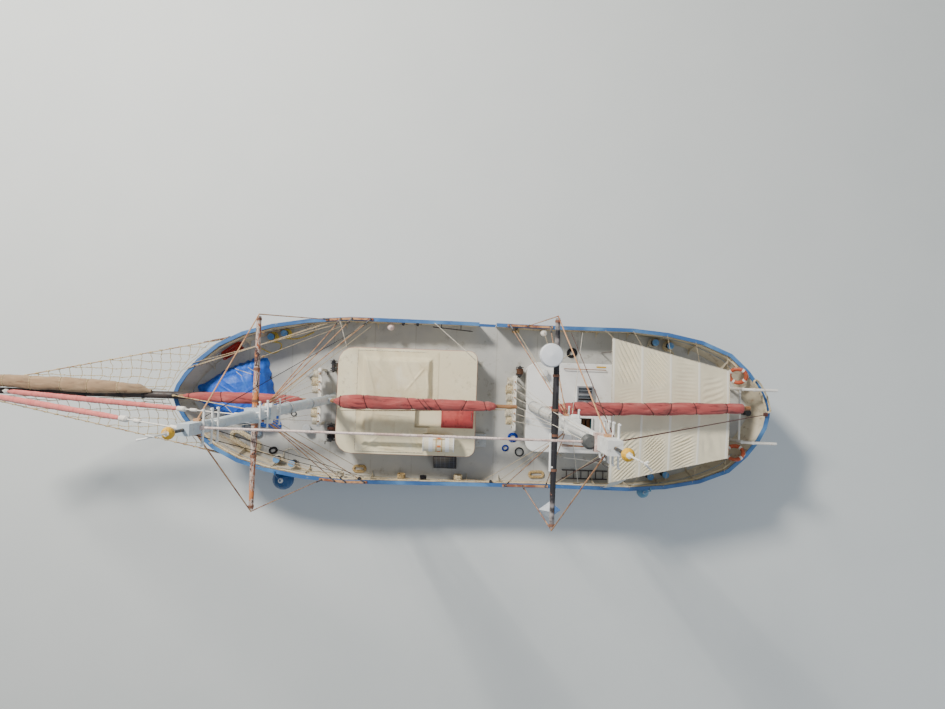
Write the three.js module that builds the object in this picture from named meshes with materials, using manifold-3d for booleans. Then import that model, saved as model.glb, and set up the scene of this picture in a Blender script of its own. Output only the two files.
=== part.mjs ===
// Two-masted steel gaff schooner, lying afloat with its sails furled.
// Millimetres. +X towards the bow, +Y to port, +Z up, origin amidships on the centreline at the waterline.
import * as THREE from 'three';
import { mergeVertices } from 'three/addons/utils/BufferGeometryUtils.js';
import Module from 'manifold-3d';

const wasm = await Module();
wasm.setup();

// Driving dimensions
const GAP = 0.3;                  // between pieces that touch
const FINEST = 0.05;              // shorter edges than this are closed up
const BOW_X = 10320;
const STERN_X = -10320;
const RAIL_Z = 2150;              // top of the bulwark amidships, above the water
const RAIL_RISE_BOW = 800;
const RAIL_RISE_STERN = 450;
const DECK_Z = 1300;
const DECK_RISE_BOW = 650;
const DECK_RISE_STERN = 250;
const DECK_FLAT_BOW = 5500;       // the deck is level between these two places
const DECK_FLAT_STERN = -6500;
const DECK_PLATE = 30;
const BULWARK_PLATE = 50;
const CAP_WIDTH = 130;
const CAP_THICK = 45;
const STEM_HALF = 60;
const KEEL_Z = -1750;
const GANGWAY = [-670, -60];      // gap in the starboard bulwark

const FORE = { x: 5150, base: 150, hounds: 140, head: 80, houndsZ: 9850, headZ: 14500 };
const MAIN = { x: -2020, base: 165, hounds: 150, head: 100, houndsZ: 9950, headZ: 15100 };
const BAND = 25;                  // mast bands stand this far out of the pole
const FORE_SPREADER = { half: 2300, thick: 160 };
const MAIN_SPREADER = { half: 2500, thick: 170 };
const WIRE = 14;                  // radius of shrouds and stays

const BOWSPRIT = { heelX: 9480, tipX: 16900, r: 130, stemZ: 3150, slope: 0.158 };
const FORE_BOOM = { pivotX: 4870, endX: -1400, z: 3250, r: 75 };
const MAIN_BOOM = { pivotX: -2330, endX: -9150, endY: -250, z: 3750, r: 85 };
const STAY_BOOM = { pivotX: 9900, endX: 5750, z: 3480, endZ: 3150, r: 55 };

const HOUSE_A = { x0: 20, x1: 4840, half: 1820, wall: 60, roofZ: 2300, roofThick: 60 };
const HOUSE_B = { x0: -5250, x1: -1830, half: 1500, wall: 60, roofZ: 2700, roofThick: 60 };
const AWNING = {
  x0: -8600, x1: -4590, frontHalf: 2450, aftHalf: 1460, ridgeZ: 3450, camber: 0.07, sag: 25, thick: 20,
};
const AWNING_POLES = { count: 5, first: 50, spacing: 975, r: 22, legY: 2000 };

// Hull stations from the stern to the bow
// railX, half breadth at the rail, bottomX, bottomZ, fullness of the section
const STATIONS = [
  [-10320, STEM_HALF, -9900, 1100, 2.0],
  [-10230, 480, -9750, 900, 2.0],
  [-10000, 950, -9450, 620, 2.0],
  [-9600, 1490, -9050, 330, 2.1],
  [-9000, 2060, -8550, 60, 2.3],
  [-8000, 2480, -7750, -260, 2.5],
  [-6800, 2730, -6700, -800, 2.9],
  [-5500, 2850, -5500, -1200, 3.6],
  [-2500, 2850, -2500, -1350, 4.5],
  [1000, 2890, 1000, -1350, 4.6],
  [4500, 2900, 4500, -1330, 4.0],
  [6000, 2760, 5900, -1290, 3.3],
  [7200, 2540, 6900, -1220, 2.7],
  [8200, 2230, 7600, -1120, 2.3],
  [9000, 1790, 8150, -980, 2.0],
  [9600, 1240, 8600, -800, 1.8],
  [10000, 740, 8950, -600, 1.7],
  [10230, 340, 9200, -420, 1.6],
  [10320, STEM_HALF, 9400, -250, 1.6],
];
const SECTION_STEPS = [0, 0.16, 0.32, 0.48, 0.62, 0.74, 0.84, 0.92, 0.97, 1];

// Stretches of bulwark: name, side, from X, to X
const SIDES = [
  ['port', 1, STERN_X, BOW_X], ['starboard_fore', -1, GANGWAY[1], BOW_X],
  ['starboard_aft', -1, STERN_X, GANGWAY[0]],
];

// Materials
const paint = (color, roughness = 0.5, metalness = 0.1) => (
  new THREE.MeshStandardMaterial({ color, roughness, metalness }));
const HULL_BLUE = paint(0x32609a);
const CREAM = paint(0xe6dcc4);
const WHITE = paint(0xf2eee4);
const DECK_GREY = paint(0xc3c1ba, 0.7);
const MAST_BLUE = paint(0xb9c8d2);
const BLACK = paint(0x22221f, 0.6, 0.3);
const RUST = paint(0x9a5a38, 0.9, 0.2);
const YELLOW = paint(0xe1af28);
const TERRACOTTA = paint(0xc36964, 0.9, 0);
const SALMON = paint(0xeb827d, 0.9, 0);
const TAN = paint(0xa58769, 0.9, 0);
const CANVAS = paint(0xe8e2cd, 0.9, 0);
const TARP_BLUE = paint(0x2d69d7, 0.7, 0);
const RED = paint(0xaf3c3c);
const STEEL = paint(0x9aa0a2, 0.4, 0.8);
const BRONZE = paint(0x9a7a3c, 0.35, 0.9);
const WOOD = paint(0x8c5a30, 0.7, 0);
const RUBBER_BLUE = paint(0x23557f, 0.6, 0);
const ROPE = paint(0xcdbe96, 0.95, 0);
const PANEL = paint(0x141c30, 0.3, 0.2);

const group = new THREE.Group();

function add(name, geometry, material) {
  const mesh = new THREE.Mesh(geometry, material);
  mesh.name = name;
  group.add(mesh);
}

const at = (x, y, z) => new THREE.Vector3(x, y, z);
const mix = (a, b, t) => a + (b - a) * t;

// Solids
function toSolid(geometry) {
  const bare = geometry.clone();
  bare.deleteAttribute('normal');
  bare.deleteAttribute('uv');
  const welded = mergeVertices(bare, 1e-3);
  return new wasm.Manifold(new wasm.Mesh({
    numProp: 3,
    vertProperties: new Float32Array(welded.attributes.position.array),
    triVerts: new Uint32Array(welded.index.array),
  }));
}

function fromSolid(solid) {
  const mesh = solid.simplify(FINEST).getMesh();
  const geometry = new THREE.BufferGeometry();
  geometry.setAttribute('position', new THREE.BufferAttribute(new Float32Array(mesh.vertProperties), 3));
  geometry.setIndex(new THREE.BufferAttribute(new Uint32Array(mesh.triVerts), 1));
  return geometry;
}

function join(...pieces) {
  return fromSolid(pieces.map(toSolid).reduce((whole, piece) => whole.add(piece)));
}

function cut(body, ...tools) {
  return fromSolid(tools.map(toSolid).reduce((rest, tool) => rest.subtract(tool), toSolid(body)));
}

function signedVolume(positions, faces) {
  let total = 0;
  const corner = (i) => at(positions[3 * i], positions[3 * i + 1], positions[3 * i + 2]);
  for (let f = 0; f < faces.length; f += 3) {
    total += corner(faces[f]).dot(corner(faces[f + 1]).cross(corner(faces[f + 2]))) / 6;
  }
  return total;
}

// A skin through rings of equal length, with flat ends or closed on itself
function loft(rings, closed = false) {
  const count = rings[0].length;
  const positions = rings.flat().flatMap((p) => [p.x, p.y, p.z]);
  const faces = [];
  const spans = closed ? rings.length : rings.length - 1;
  for (let i = 0; i < spans; i += 1) {
    const here = i * count;
    const next = ((i + 1) % rings.length) * count;
    for (let j = 0; j < count; j += 1) {
      const k = (j + 1) % count;
      faces.push(here + j, here + k, next + k, here + j, next + k, next + j);
    }
  }
  if (!closed) {
    const last = (rings.length - 1) * count;
    for (let j = 1; j < count - 1; j += 1) {
      faces.push(0, j + 1, j, last, last + j, last + j + 1);
    }
  }
  if (signedVolume(positions, faces) < 0) {
    for (let f = 0; f < faces.length; f += 3) {
      [faces[f + 1], faces[f + 2]] = [faces[f + 2], faces[f + 1]];
    }
  }
  const geometry = new THREE.BufferGeometry();
  geometry.setAttribute('position', new THREE.Float32BufferAttribute(positions, 3));
  geometry.setIndex(faces);
  return geometry;
}

function box(x0, x1, y0, y1, z0, z1) {
  const shape = new THREE.BoxGeometry(x1 - x0, y1 - y0, z1 - z0);
  return shape.translate((x0 + x1) / 2, (y0 + y1) / 2, (z0 + z1) / 2);
}

// A round bar between two points, tapered if two radii are given
function bar(from, to, r0, r1 = r0, sides = 8) {
  const along = to.clone().sub(from);
  const shape = new THREE.CylinderGeometry(r1, r0, along.length(), sides);
  const turn = new THREE.Quaternion().setFromUnitVectors(at(0, 1, 0), along.clone().normalize());
  shape.applyQuaternion(turn);
  return shape.translate((from.x + to.x) / 2, (from.y + to.y) / 2, (from.z + to.z) / 2);
}

function ball(centre, r, sides = 10) {
  return new THREE.SphereGeometry(r, sides, Math.ceil(sides * 0.7)).translate(centre.x, centre.y, centre.z);
}

// A wire through several points, with a ball at each bend
function wireThrough(points, r, sides = 6) {
  const pieces = [];
  for (let i = 1; i < points.length; i += 1) {
    pieces.push(bar(points[i - 1], points[i], r, r, sides));
    if (i < points.length - 1) {
      pieces.push(ball(points[i], r * 1.3, 10));
    }
  }
  return join(...pieces);
}

// A turned shape about a vertical line, from [radius, height] pairs
function turned(profile, x, y, sides = 16) {
  const points = profile.map(([r, z]) => new THREE.Vector2(r, z));
  const shape = new THREE.LatheGeometry(points, sides);
  shape.rotateX(Math.PI / 2);
  return shape.translate(x, y, 0);
}

function upright(x, y, r, z0, z1, sides = 12) {
  return turned([[0, z0], [r, z0], [r, z1], [0, z1]], x, y, sides);
}

// Upright oval across the ship that stands on a given height
const ovalRing = (x, y, low, halfWide, halfHigh) => Array.from({ length: 12 }, (_, i) => {
  const a = (i * Math.PI) / 6;
  return at(x, y + halfWide * Math.cos(a), low + halfHigh + halfHigh * Math.sin(a));
});

// A flat outline in plan, raised between two heights
function slab(outline, z0, z1) {
  const shape = new THREE.Shape(outline.map(([x, y]) => new THREE.Vector2(x, y)));
  return new THREE.ExtrudeGeometry(shape, { depth: z1 - z0, bevelEnabled: false }).translate(0, 0, z0);
}

// A side profile of [x, z] pairs, given a thickness across the ship
function plate(profile, halfThick, y = 0) {
  const shape = new THREE.Shape(profile.map(([x, z]) => new THREE.Vector2(x, z)));
  const solid = new THREE.ExtrudeGeometry(shape, { depth: 2 * halfThick, bevelEnabled: false });
  return solid.rotateX(Math.PI / 2).translate(0, y + halfThick, 0);
}

// Plan of a house with its corners rounded
function roundedPlan(x0, x1, half, cornerAft, cornerFore, steps = 4) {
  const corners = [
    [x1 - cornerFore, half - cornerFore, cornerFore, 0],
    [x0 + cornerAft, half - cornerAft, cornerAft, 90],
    [x0 + cornerAft, -half + cornerAft, cornerAft, 180],
    [x1 - cornerFore, -half + cornerFore, cornerFore, 270],
  ];
  const outline = [];
  corners.forEach(([cx, cy, r, start]) => {
    for (let i = 0; i <= steps; i += 1) {
      const a = THREE.MathUtils.degToRad(start + (90 * i) / steps);
      outline.push([cx + r * Math.cos(a), cy + r * Math.sin(a)]);
    }
  });
  return outline;
}

// Sheer and skin of the hull
const railCurve = (x) => RAIL_Z + (x > 0 ? RAIL_RISE_BOW : RAIL_RISE_STERN) * (x / BOW_X) ** 2;

function deckCurve(x) {
  if (x > DECK_FLAT_BOW) {
    return DECK_Z + DECK_RISE_BOW * ((x - DECK_FLAT_BOW) / (BOW_X - DECK_FLAT_BOW)) ** 2;
  }
  if (x < DECK_FLAT_STERN) {
    return DECK_Z + DECK_RISE_STERN * ((DECK_FLAT_STERN - x) / (DECK_FLAT_STERN - STERN_X)) ** 2;
  }
  return DECK_Z;
}

// The two stations that a place lies between, and how far along it is
function stretchAt(x) {
  const after = THREE.MathUtils.clamp(STATIONS.findIndex((row) => row[0] >= x), 1, STATIONS.length - 1);
  const a = STATIONS[after - 1];
  const b = STATIONS[after];
  return { a, b, t: (x - a[0]) / (b[0] - a[0]) };
}

function stationAt(x) {
  const { a, b, t } = stretchAt(x);
  return a.map((value, i) => mix(value, b[i], t));
}

// Heights that run straight from station to station, as the plates do
const straightened = (curve) => (x) => {
  const { a, b, t } = stretchAt(x);
  return mix(curve(a[0]), curve(b[0]), t);
};
const railZ = straightened(railCurve);
const deckZ = straightened(deckCurve);

// Point of the hull's outer skin on one station, at a given height
function skin(station, z, side) {
  const [railX, half, bottomX, bottomZ, fullness] = station;
  const depth = THREE.MathUtils.clamp((railZ(railX) - z) / (railZ(railX) - bottomZ), 0, 1);
  const width = (1 - depth ** fullness) ** (1 / (0.55 * fullness));
  return at(mix(railX, bottomX, depth ** 1.6), side * Math.max(STEM_HALF, half * width), z);
}

const stationsBetween = (x0, x1) => [
  stationAt(x0),
  ...STATIONS.filter((row) => row[0] > x0 + 1 && row[0] < x1 - 1),
  stationAt(x1),
];

// Moves each point of an open plan line to its left by a distance
function shifted(line, distance) {
  return line.map((p, i) => {
    const before = line[Math.max(0, i - 1)];
    const after = line[Math.min(line.length - 1, i + 1)];
    const along = at(after.x - before.x, after.y - before.y, 0).normalize();
    return at(p.x - along.y * distance, p.y + along.x * distance, p.z);
  });
}

// Line round one side of the hull, from the stern to the bow, at the height that heightAt gives
function sideLine(side, heightAt, x0 = STERN_X, x1 = BOW_X) {
  const line = stationsBetween(x0, x1).map((row) => skin(row, heightAt(row[0]), side));
  if (x0 === STERN_X) {
    line.unshift(at(line[0].x, side * GAP / 2, line[0].z));
  }
  if (x1 === BOW_X) {
    const tip = line[line.length - 1];
    line.push(at(tip.x, side * GAP / 2, tip.z));
  }
  return line;
}

// A strip that follows one side of the hull: offsets are inboard, heights are functions of X
function strip(side, outer, inner, lowAt, highAt, x0, x1) {
  const low = sideLine(side, lowAt, x0, x1);
  const high = sideLine(side, highAt, x0, x1);
  const turn = side > 0 ? 1 : -1;
  const lines = [
    shifted(low, turn * -outer), shifted(high, turn * -outer),
    shifted(high, turn * -inner), shifted(low, turn * -inner),
  ];
  const rings = low.map((_, i) => lines.map((line) => line[i].clone()));
  const last = rings.length - 1;
  [[0, x0, STERN_X], [last, x1, BOW_X]].forEach(([i, x, end]) => {
    if (x === end || x === undefined) {
      rings[i].forEach((p) => { p.y = side * GAP / 2; });
    }
  });
  return loft(rings);
}

// Hull
const hullTop = (x) => deckZ(x) - DECK_PLATE - GAP;

function hullBody() {
  return loft(STATIONS.map((row) => {
    const top = hullTop(row[0]);
    const heights = SECTION_STEPS.map((s) => mix(top, row[3], s));
    const port = heights.map((z) => skin(row, z, 1));
    const starboard = heights.map((z) => skin(row, z, -1)).reverse();
    return [...port, ...starboard];
  }));
}

const PROP = { x: -7850, z: -950, r: 470, hubR: 75 };
const RUDDER = { x: -8400, trunkZ: -60, heelZ: KEEL_Z + 100 };

function hull() {
  const keel = plate([
    [7900, -700], [7500, -1250], [6900, -1550], [5900, KEEL_Z], [-7450, KEEL_Z],
    [-7450, -150], [-5500, -900], [5000, -1000],
  ], 70);
  const sole = box(-8520, -7400, -60, 60, KEEL_Z, RUDDER.heelZ);
  const sternTube = bar(at(-7000, 0, PROP.z), at(-7740, 0, PROP.z), 100, 90, 12);
  const trunk = upright(RUDDER.x, 0, 110, RUDDER.trunkZ, 500, 12);
  const strakes = [1, -1].map((side) => strip(
    side, -60, 60, (x) => hullTop(x) - 190, (x) => hullTop(x) - 70));
  return join(hullBody(), keel, sole, sternTube, trunk, ...strakes);
}

const deckEdge = shifted(
  stationsBetween(STERN_X + 90, BOW_X - 90).map((row) => skin(row, deckZ(row[0]), 1)), -BULWARK_PLATE / 2);

// Everything below a line that follows the sheer, to trim what stands on it
const below = (line, lift) => loft(line.map(({ x, z }) => [
  at(x, 3500, z + lift), at(x, -3500, z + lift), at(x, -3500, z - 800), at(x, 3500, z - 800),
]));
const belowDeck = below(deckEdge, GAP);
const belowPlate = below(deckEdge, -DECK_PLATE / 2);
const belowHullTop = below(STATIONS.map((row) => skin(row, hullTop(row[0]), 1)), GAP);

const onDeck = (piece) => cut(piece, belowDeck);

function deck() {
  const whole = loft(deckEdge.map(({ x, y, z }) => [
    at(x, y, z), at(x, -y, z), at(x, -y, z - DECK_PLATE), at(x, y, z - DECK_PLATE),
  ]));
  const plateSolid = cut(whole, ...[1, -1].map((side) => strip(
    side, -200, BULWARK_PLATE + 2, bulwarkFootZ, bulwarkTopZ)));
  return join(plateSolid, ...[...bitts(), ...deckFittings()].map((piece) => cut(piece, belowPlate)));
}

// Bollards in pairs: x and y of one post, x and y of the other
const BITT_PAIRS = [
  [7420, -2150, 6950, -2290], [7050, 2250, 6500, 2370], [-6500, -2440, -7050, -2340],
  [-6450, 2440, -7000, 2350],
];
const BITT = { r: 95, capR: 120, high: 520 };

function bitts() {
  return BITT_PAIRS.flatMap(([xa, ya, xb, yb]) => {
    const top = deckZ(xa) + BITT.high;
    return [[xa, ya], [xb, yb]].map(([x, y]) => {
      const base = deckZ(x);
      return turned([
        [0, base - 60], [BITT.capR, base - 60], [BITT.capR, base + 60], [BITT.r, base + 60],
        [BITT.r, top - 60], [BITT.capR, top - 60], [BITT.capR, top], [0, top],
      ], x, y, 12);
    });
  });
}

// Ventilators and small boxes on deck: x, y, radius, height
const VENTS = [[6050, -900, 160, 260], [6080, 1150, 170, 260], [-1670, 1700, 165, 380]];

function deckFittings() {
  const vents = VENTS.map(([x, y, r, high]) => {
    const base = deckZ(x);
    return turned([
      [0, base - 60], [r * 0.6, base - 60], [r * 0.6, base + high * 0.6], [r, base + high * 0.7],
      [r * 0.8, base + high], [0, base + high * 1.08],
    ], x, y, 12);
  });
  const locker = box(-430, -30, 1100, 1550, DECK_Z - 15, DECK_Z + 420);
  return [...vents, locker];
}

const capRail = (side, x0, x1) => strip(
  side, -(CAP_WIDTH - BULWARK_PLATE) / 2, (CAP_WIDTH + BULWARK_PLATE) / 2,
  (x) => railZ(x) - CAP_THICK, railZ, x0, x1);

const bulwarkFootZ = (x) => hullTop(x) - 15;
const bulwarkTopZ = (x) => railZ(x) - CAP_THICK + 15;

const bulwark = (side, x0, x1) => cut(
  strip(side, GAP, BULWARK_PLATE, bulwarkFootZ, bulwarkTopZ, x0, x1),
  capRail(side, x0, x1).translate(0, 0, -GAP), belowHullTop);

function propeller() {
  const hub = bar(at(PROP.x + 110 - GAP, 0, PROP.z), at(PROP.x - 120, 0, PROP.z), PROP.hubR, 45, 12);
  const blades = [0, 1, 2, 3].map((i) => {
    const outline = new THREE.Shape();
    outline.absellipse(0, PROP.r * 0.54, PROP.r * 0.26, PROP.r * 0.46, 0, 2 * Math.PI, false, 0);
    const blade = new THREE.ExtrudeGeometry(outline, { depth: 22, bevelEnabled: false, curveSegments: 4 });
    blade.translate(0, 0, -11);
    blade.rotateY(Math.PI / 2 - 0.6);
    blade.rotateX((i * Math.PI) / 2);
    return blade.translate(PROP.x, 0, PROP.z);
  });
  return join(hub, ...blades);
}

function rudder() {
  const blade = plate([
    [-8230, -1560], [-8950, -1560], [-9120, -1250], [-9150, -700], [-9050, -330], [-8230, -330],
  ], 35);
  const stock = upright(RUDDER.x, 0, 50, RUDDER.heelZ + GAP, RUDDER.trunkZ - GAP, 12);
  return join(blade, stock);
}

// Masts
function mast(spec) {
  const seat = DECK_Z - DECK_PLATE / 2;
  const pole = turned([
    [0, seat], [spec.base, seat], [spec.base, seat + 2500], [spec.hounds, spec.houndsZ],
    [spec.head, spec.headZ], [0, spec.headZ],
  ], spec.x, 0, 16);
  const band = spec.hounds + BAND;
  const cap = spec.head + BAND;
  return onDeck(join(
    pole,
    upright(spec.x, 0, spec.base + 60, seat, seat + 120, 12),
    box(spec.x - band, spec.x + band, -band, band, spec.houndsZ - 350, spec.houndsZ + 100),
    box(spec.x - band, spec.x + band, -band, band, spec.houndsZ + 850, spec.houndsZ + 1050),
    box(spec.x - cap, spec.x + cap, -cap, cap, spec.headZ - 1000, spec.headZ),
  ));
}

// Bracket on the after side of a mast that carries the heel of its boom
function gooseneck(spec, boom) {
  return box(boom.pivotX - 90, spec.x, -70, 70, boom.z - boom.r - 120, boom.z - boom.r - 50);
}

function truck(spec, ballZ, vaneZ) {
  return join(
    upright(spec.x, 0, 30, spec.headZ + GAP, ballZ, 8),
    ball(at(spec.x, 0, ballZ), 105, 12),
    bar(at(spec.x, 0, ballZ), at(spec.x, 0, vaneZ), 18, 10, 6),
  );
}

// Spar across the mast, held on its forward face
const spreaderX = (spec, spar) => spec.x + spec.hounds + BAND + GAP + spar.thick / 2;

function spreader(spec, spar) {
  const x = spreaderX(spec, spar);
  const z = spec.houndsZ;
  const arm = (side) => bar(at(x, 0, z), at(x, side * spar.half, z), spar.thick / 2, spar.thick / 3, 10);
  return join(arm(1), arm(-1), box(x - spar.thick / 2, x, -90, 90, z - 60, z + 60));
}

// Shrouds of one side: the bar on the rail, the lower shrouds to the hounds and the topmast shroud
function shrouds(spec, spar, side, lowerXs, topX, headZ) {
  const xs = [...lowerXs, topX];
  const x0 = Math.min(...xs) - 90;
  const x1 = Math.max(...xs) + 90;
  const sill = strip(side, -20, 60, (x) => railZ(x) + 2 * GAP, (x) => railZ(x) + 45, x0, x1);
  const foot = (x) => {
    const p = skin(stationAt(x), railZ(x), side);
    return at(p.x, p.y - side * 20, railZ(x) + 28);
  };
  const tang = (half, z, high) => {
    const ys = [side * (half + GAP), side * (half + 44)].sort((a, b) => a - b);
    return box(spec.x - 55, spec.x + 55, ys[0], ys[1], z - high, z + high);
  };
  const band = spec.hounds + BAND;
  const cap = spec.head + BAND;
  const lower = lowerXs.map((x, i) => {
    const hounds = at(spec.x, side * (band + 22), spec.houndsZ - 40 + i * 27);
    return bar(foot(x), hounds, WIRE, WIRE, 6);
  });
  const tip = at(spreaderX(spec, spar), side * (spar.half + 50), spec.houndsZ);
  const upper = wireThrough([foot(topX), tip, at(spec.x + 7, side * (cap + 22), headZ - 9)], WIRE);
  return join(sill, tang(band, spec.houndsZ, 90), ...lower, upper, tang(cap, headZ, 60));
}

// Bowsprit
const spritZ = (x) => BOWSPRIT.stemZ + (x - BOW_X) * BOWSPRIT.slope;
const STAY_FOOT_Z = spritZ(10170) + BOWSPRIT.r + 25;
const TACKS = [[15300, spritZ(15300) + 190], [16600, spritZ(16600) + 210]];

function bowsprit() {
  const { heelX, tipX, r } = BOWSPRIT;
  const spar = bar(at(heelX, 0, spritZ(heelX)), at(tipX, 0, spritZ(tipX)), r, r * 0.75, 14);
  const post = onDeck(box(heelX, heelX + 220, -110, 110, deckZ(heelX) - 100, spritZ(heelX) + 60));
  const saddle = box(BOW_X - 250, BOW_X - 60, -110, 110, railZ(BOW_X) + GAP, spritZ(BOW_X) + 20);
  const pivotPost = upright(
    STAY_BOOM.pivotX, 0, 55, spritZ(STAY_BOOM.pivotX), STAY_BOOM.z - STAY_BOOM.r - 50, 10);
  const stayPlate = box(10100, 10240, -40, 40, spritZ(10170), STAY_FOOT_Z);
  const jibTack = box(15250, 15350, -25, 25, spritZ(15300), TACKS[0][1]);
  const band = bar(at(16550, 0, spritZ(16550)), at(16650, 0, spritZ(16650)), 150, 150, 12);
  const tipTack = box(16550, 16650, -25, 25, spritZ(16600), TACKS[1][1]);
  return join(spar, post, saddle, pivotPost, stayPlate, jibTack, band, tipTack);
}

// Bag of a stowed sail, lying on the bowsprit: x, y of its middle, half width, half height
const SAIL_BAG = [
  [10900, -120, 60, 60], [11300, -200, 170, 110], [12500, -235, 250, 140], [14200, -300, 240, 140],
  [15100, -340, 215, 130], [15900, -300, 170, 110], [16250, -230, 60, 60],
];

function sailBag() {
  const bag = loft(SAIL_BAG.map(([x, y, halfWide, halfHigh]) => (
    ovalRing(x, y, spritZ(x) + BOWSPRIT.r * 0.5, halfWide, halfHigh))));
  return cut(bag, bowsprit().translate(0, -GAP, GAP));
}

// Bobstay below and the two guys at the sides, on a ring round the spar's end
function bowspritStays() {
  const ringX = 16350;
  const z = spritZ(ringX);
  const ring = cut(
    bar(at(ringX - 40, 0, z), at(ringX + 40, 0, z), 175, 175, 16),
    bar(at(ringX - 60, 0, z), at(ringX + 60, 0, z), 130, 130, 16),
  );
  const stem = skin(STATIONS[STATIONS.length - 1], 250, 1);
  const stemEye = cut(box(stem.x - 60, stem.x + 90, -40, 40, 190, 310), hullBody().translate(GAP, 0, 0));
  const bob = bar(at(ringX, 0, z - 150), at(stem.x + 60, 0, 250), 20, 20, 6);
  const guys = [1, -1].flatMap((side) => {
    const end = skin(stationAt(8350), 2050, side);
    const eye = cut(
      box(end.x - 70, end.x + 70, end.y - 60, end.y + 60, 1980, 2120),
      strip(side, -GAP, 300, bulwarkFootZ, bulwarkTopZ, 7600, 9300));
    return [eye, bar(at(ringX, side * 150, z), at(end.x + 30, end.y + side * 38, end.z), 18, 18, 6)];
  });
  return join(ring, stemEye, bob, ...guys);
}

// Stay with a block at each end, from a flat seat on the bowsprit to the fore side of a mast band
function stayBetween([footX, footZ], bandHalf, headZ) {
  const face = FORE.x + bandHalf + GAP;
  const from = at(footX, 0, footZ + 40);
  const to = at(face + 30, 0, headZ);
  return {
    from,
    to,
    pieces: [
      bar(from, to, WIRE, WIRE, 8),
      box(footX - 40, footX + 40, -25, 25, footZ + GAP, footZ + 80),
      box(face, face + 60, -25, 25, headZ - 50, headZ + 50),
    ],
  };
}

// Sail rolled round its stay, with a bare end at the top and the bottom
const JIB_R = 82;

function furledJib(foot, bandHalf, headZ, r) {
  const { from, to, pieces } = stayBetween(foot, bandHalf, headZ);
  const place = (t) => from.clone().lerp(to, t);
  return join(
    ...pieces,
    bar(place(0.03), place(0.5), r, r, 10),
    bar(place(0.4995), place(0.9), r, r * 0.6, 10),
  );
}

// Furled sails along their booms: place along the boom, half width, half height
const SAIL_ROWS = [
  [0, 90, 80], [0.04, 210, 190], [0.12, 225, 200], [0.4, 200, 175], [0.75, 180, 160], [0.95, 160, 140],
  [1, 70, 60],
];
const STAYSAIL_ROWS = [[0, 50, 45], [0.15, 150, 100], [0.5, 190, 130], [0.85, 160, 110], [1, 60, 50]];

function boomAxis(boom, x) {
  const t = (x - boom.pivotX) / (boom.endX - boom.pivotX);
  return at(x, mix(0, boom.endY ?? 0, t), mix(boom.z, boom.endZ ?? boom.z, t));
}

function bundle(boom, startX, endX, rows) {
  const heap = loft(rows.map(([t, halfWide, halfHigh]) => {
    const { x, y, z } = boomAxis(boom, mix(startX, endX, t));
    return ovalRing(x, y, z + boom.r - 30, halfWide, halfHigh);
  }));
  return cut(heap, boomSpar(boom).translate(0, 0, GAP));
}

function boomSpar(boom) {
  return join(
    bar(boomAxis(boom, boom.pivotX), boomAxis(boom, boom.endX), boom.r, boom.r * 0.85, 12),
    upright(boom.pivotX, 0, boom.r * 0.8, boom.z - boom.r - 50 + GAP, boom.z + boom.r * 0.6, 10),
  );
}

// Deckhouses
function walls(spec, outline, inner, windows) {
  const z0 = DECK_Z - 10;
  const z1 = spec.roofZ - spec.roofThick - GAP;
  return cut(slab(outline, z0, z1), slab(inner, z0 - 10, z1 + 10), belowDeck, ...windows);
}

function houseA() {
  const { x0, x1, half, wall } = HOUSE_A;
  const windows = [];
  for (let x = 700; x < 4300; x += 800) {
    windows.push(box(x - 180, x + 180, -half - 50, half + 50, 1750, 1980));
  }
  return walls(
    HOUSE_A, roundedPlan(x0, x1, half, 250, 500),
    roundedPlan(x0 + wall, x1 - wall, half - wall, 250 - wall, 500 - wall), windows);
}

const HATCH = { x0: 50, x1: 1180, y0: 0, y1: 860, runnerX: 2080 };

function houseARoof() {
  const top = HOUSE_A.roofZ;
  const roof = slab(roundedPlan(HOUSE_A.x0 - 40, HOUSE_A.x1 + 40, HOUSE_A.half + 40, 290, 540),
    top - HOUSE_A.roofThick, top);
  const runners = [HATCH.y0 + 30, HATCH.y1 - 70].map((y) => box(
    HATCH.x0 + 30, HATCH.runnerX, y, y + 40, top - 10, top + 60));
  const hole = box(HATCH.x0 + 130, HATCH.x1 - 100, HATCH.y0 + 100, HATCH.y1 - 100, top - 200, top + 200);
  return cut(join(roof, ...runners), hole);
}

function redHatch() {
  const { x0, x1, y0, y1 } = HATCH;
  const low = HOUSE_A.roofZ + 60 + GAP;
  return loft([x0, x1].map((x) => [
    at(x, y0, low), at(x, y1, low), at(x, y1, low + 40), at(x, (y0 + y1) / 2, low + 75), at(x, y0, low + 40),
  ]));
}

const HOUSE_TARP = { x0: 1350, x1: 4180, half: 1760, thick: 25, crown: 210, rim: 230, slope: 130 };
const LIFERAFT = { x0: 700, x1: 1770, y: 1385, r: 290, lift: 335, cradleX: [880, 1520], cradleHalf: 240 };

function houseTarp() {
  const { x0, x1, half, thick, crown, rim, slope } = HOUSE_TARP;
  const top = HOUSE_A.roofZ;
  const ring = (inset, z) => [
    at(x0 + inset, -half + inset, z), at(x1 - inset, -half + inset, z),
    at(x1 - inset, half - inset, z), at(x0 + inset, half - inset, z),
  ];
  const sheet = join(
    box(x0, x1, -half, half, top + GAP, top + thick),
    loft([ring(rim, top + thick - 5), ring(rim + slope, top + crown)]),
  );
  const atHatch = box(x0 - 10, HATCH.runnerX + 20, HATCH.y0 - 10, HATCH.y1 + 10, top - 10, top + 300);
  const atRaft = box(x0 - 10, LIFERAFT.x1 + 50, LIFERAFT.y - 300, LIFERAFT.y + 300, top - 10, top + 300);
  return cut(sheet, atHatch, atRaft);
}

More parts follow.
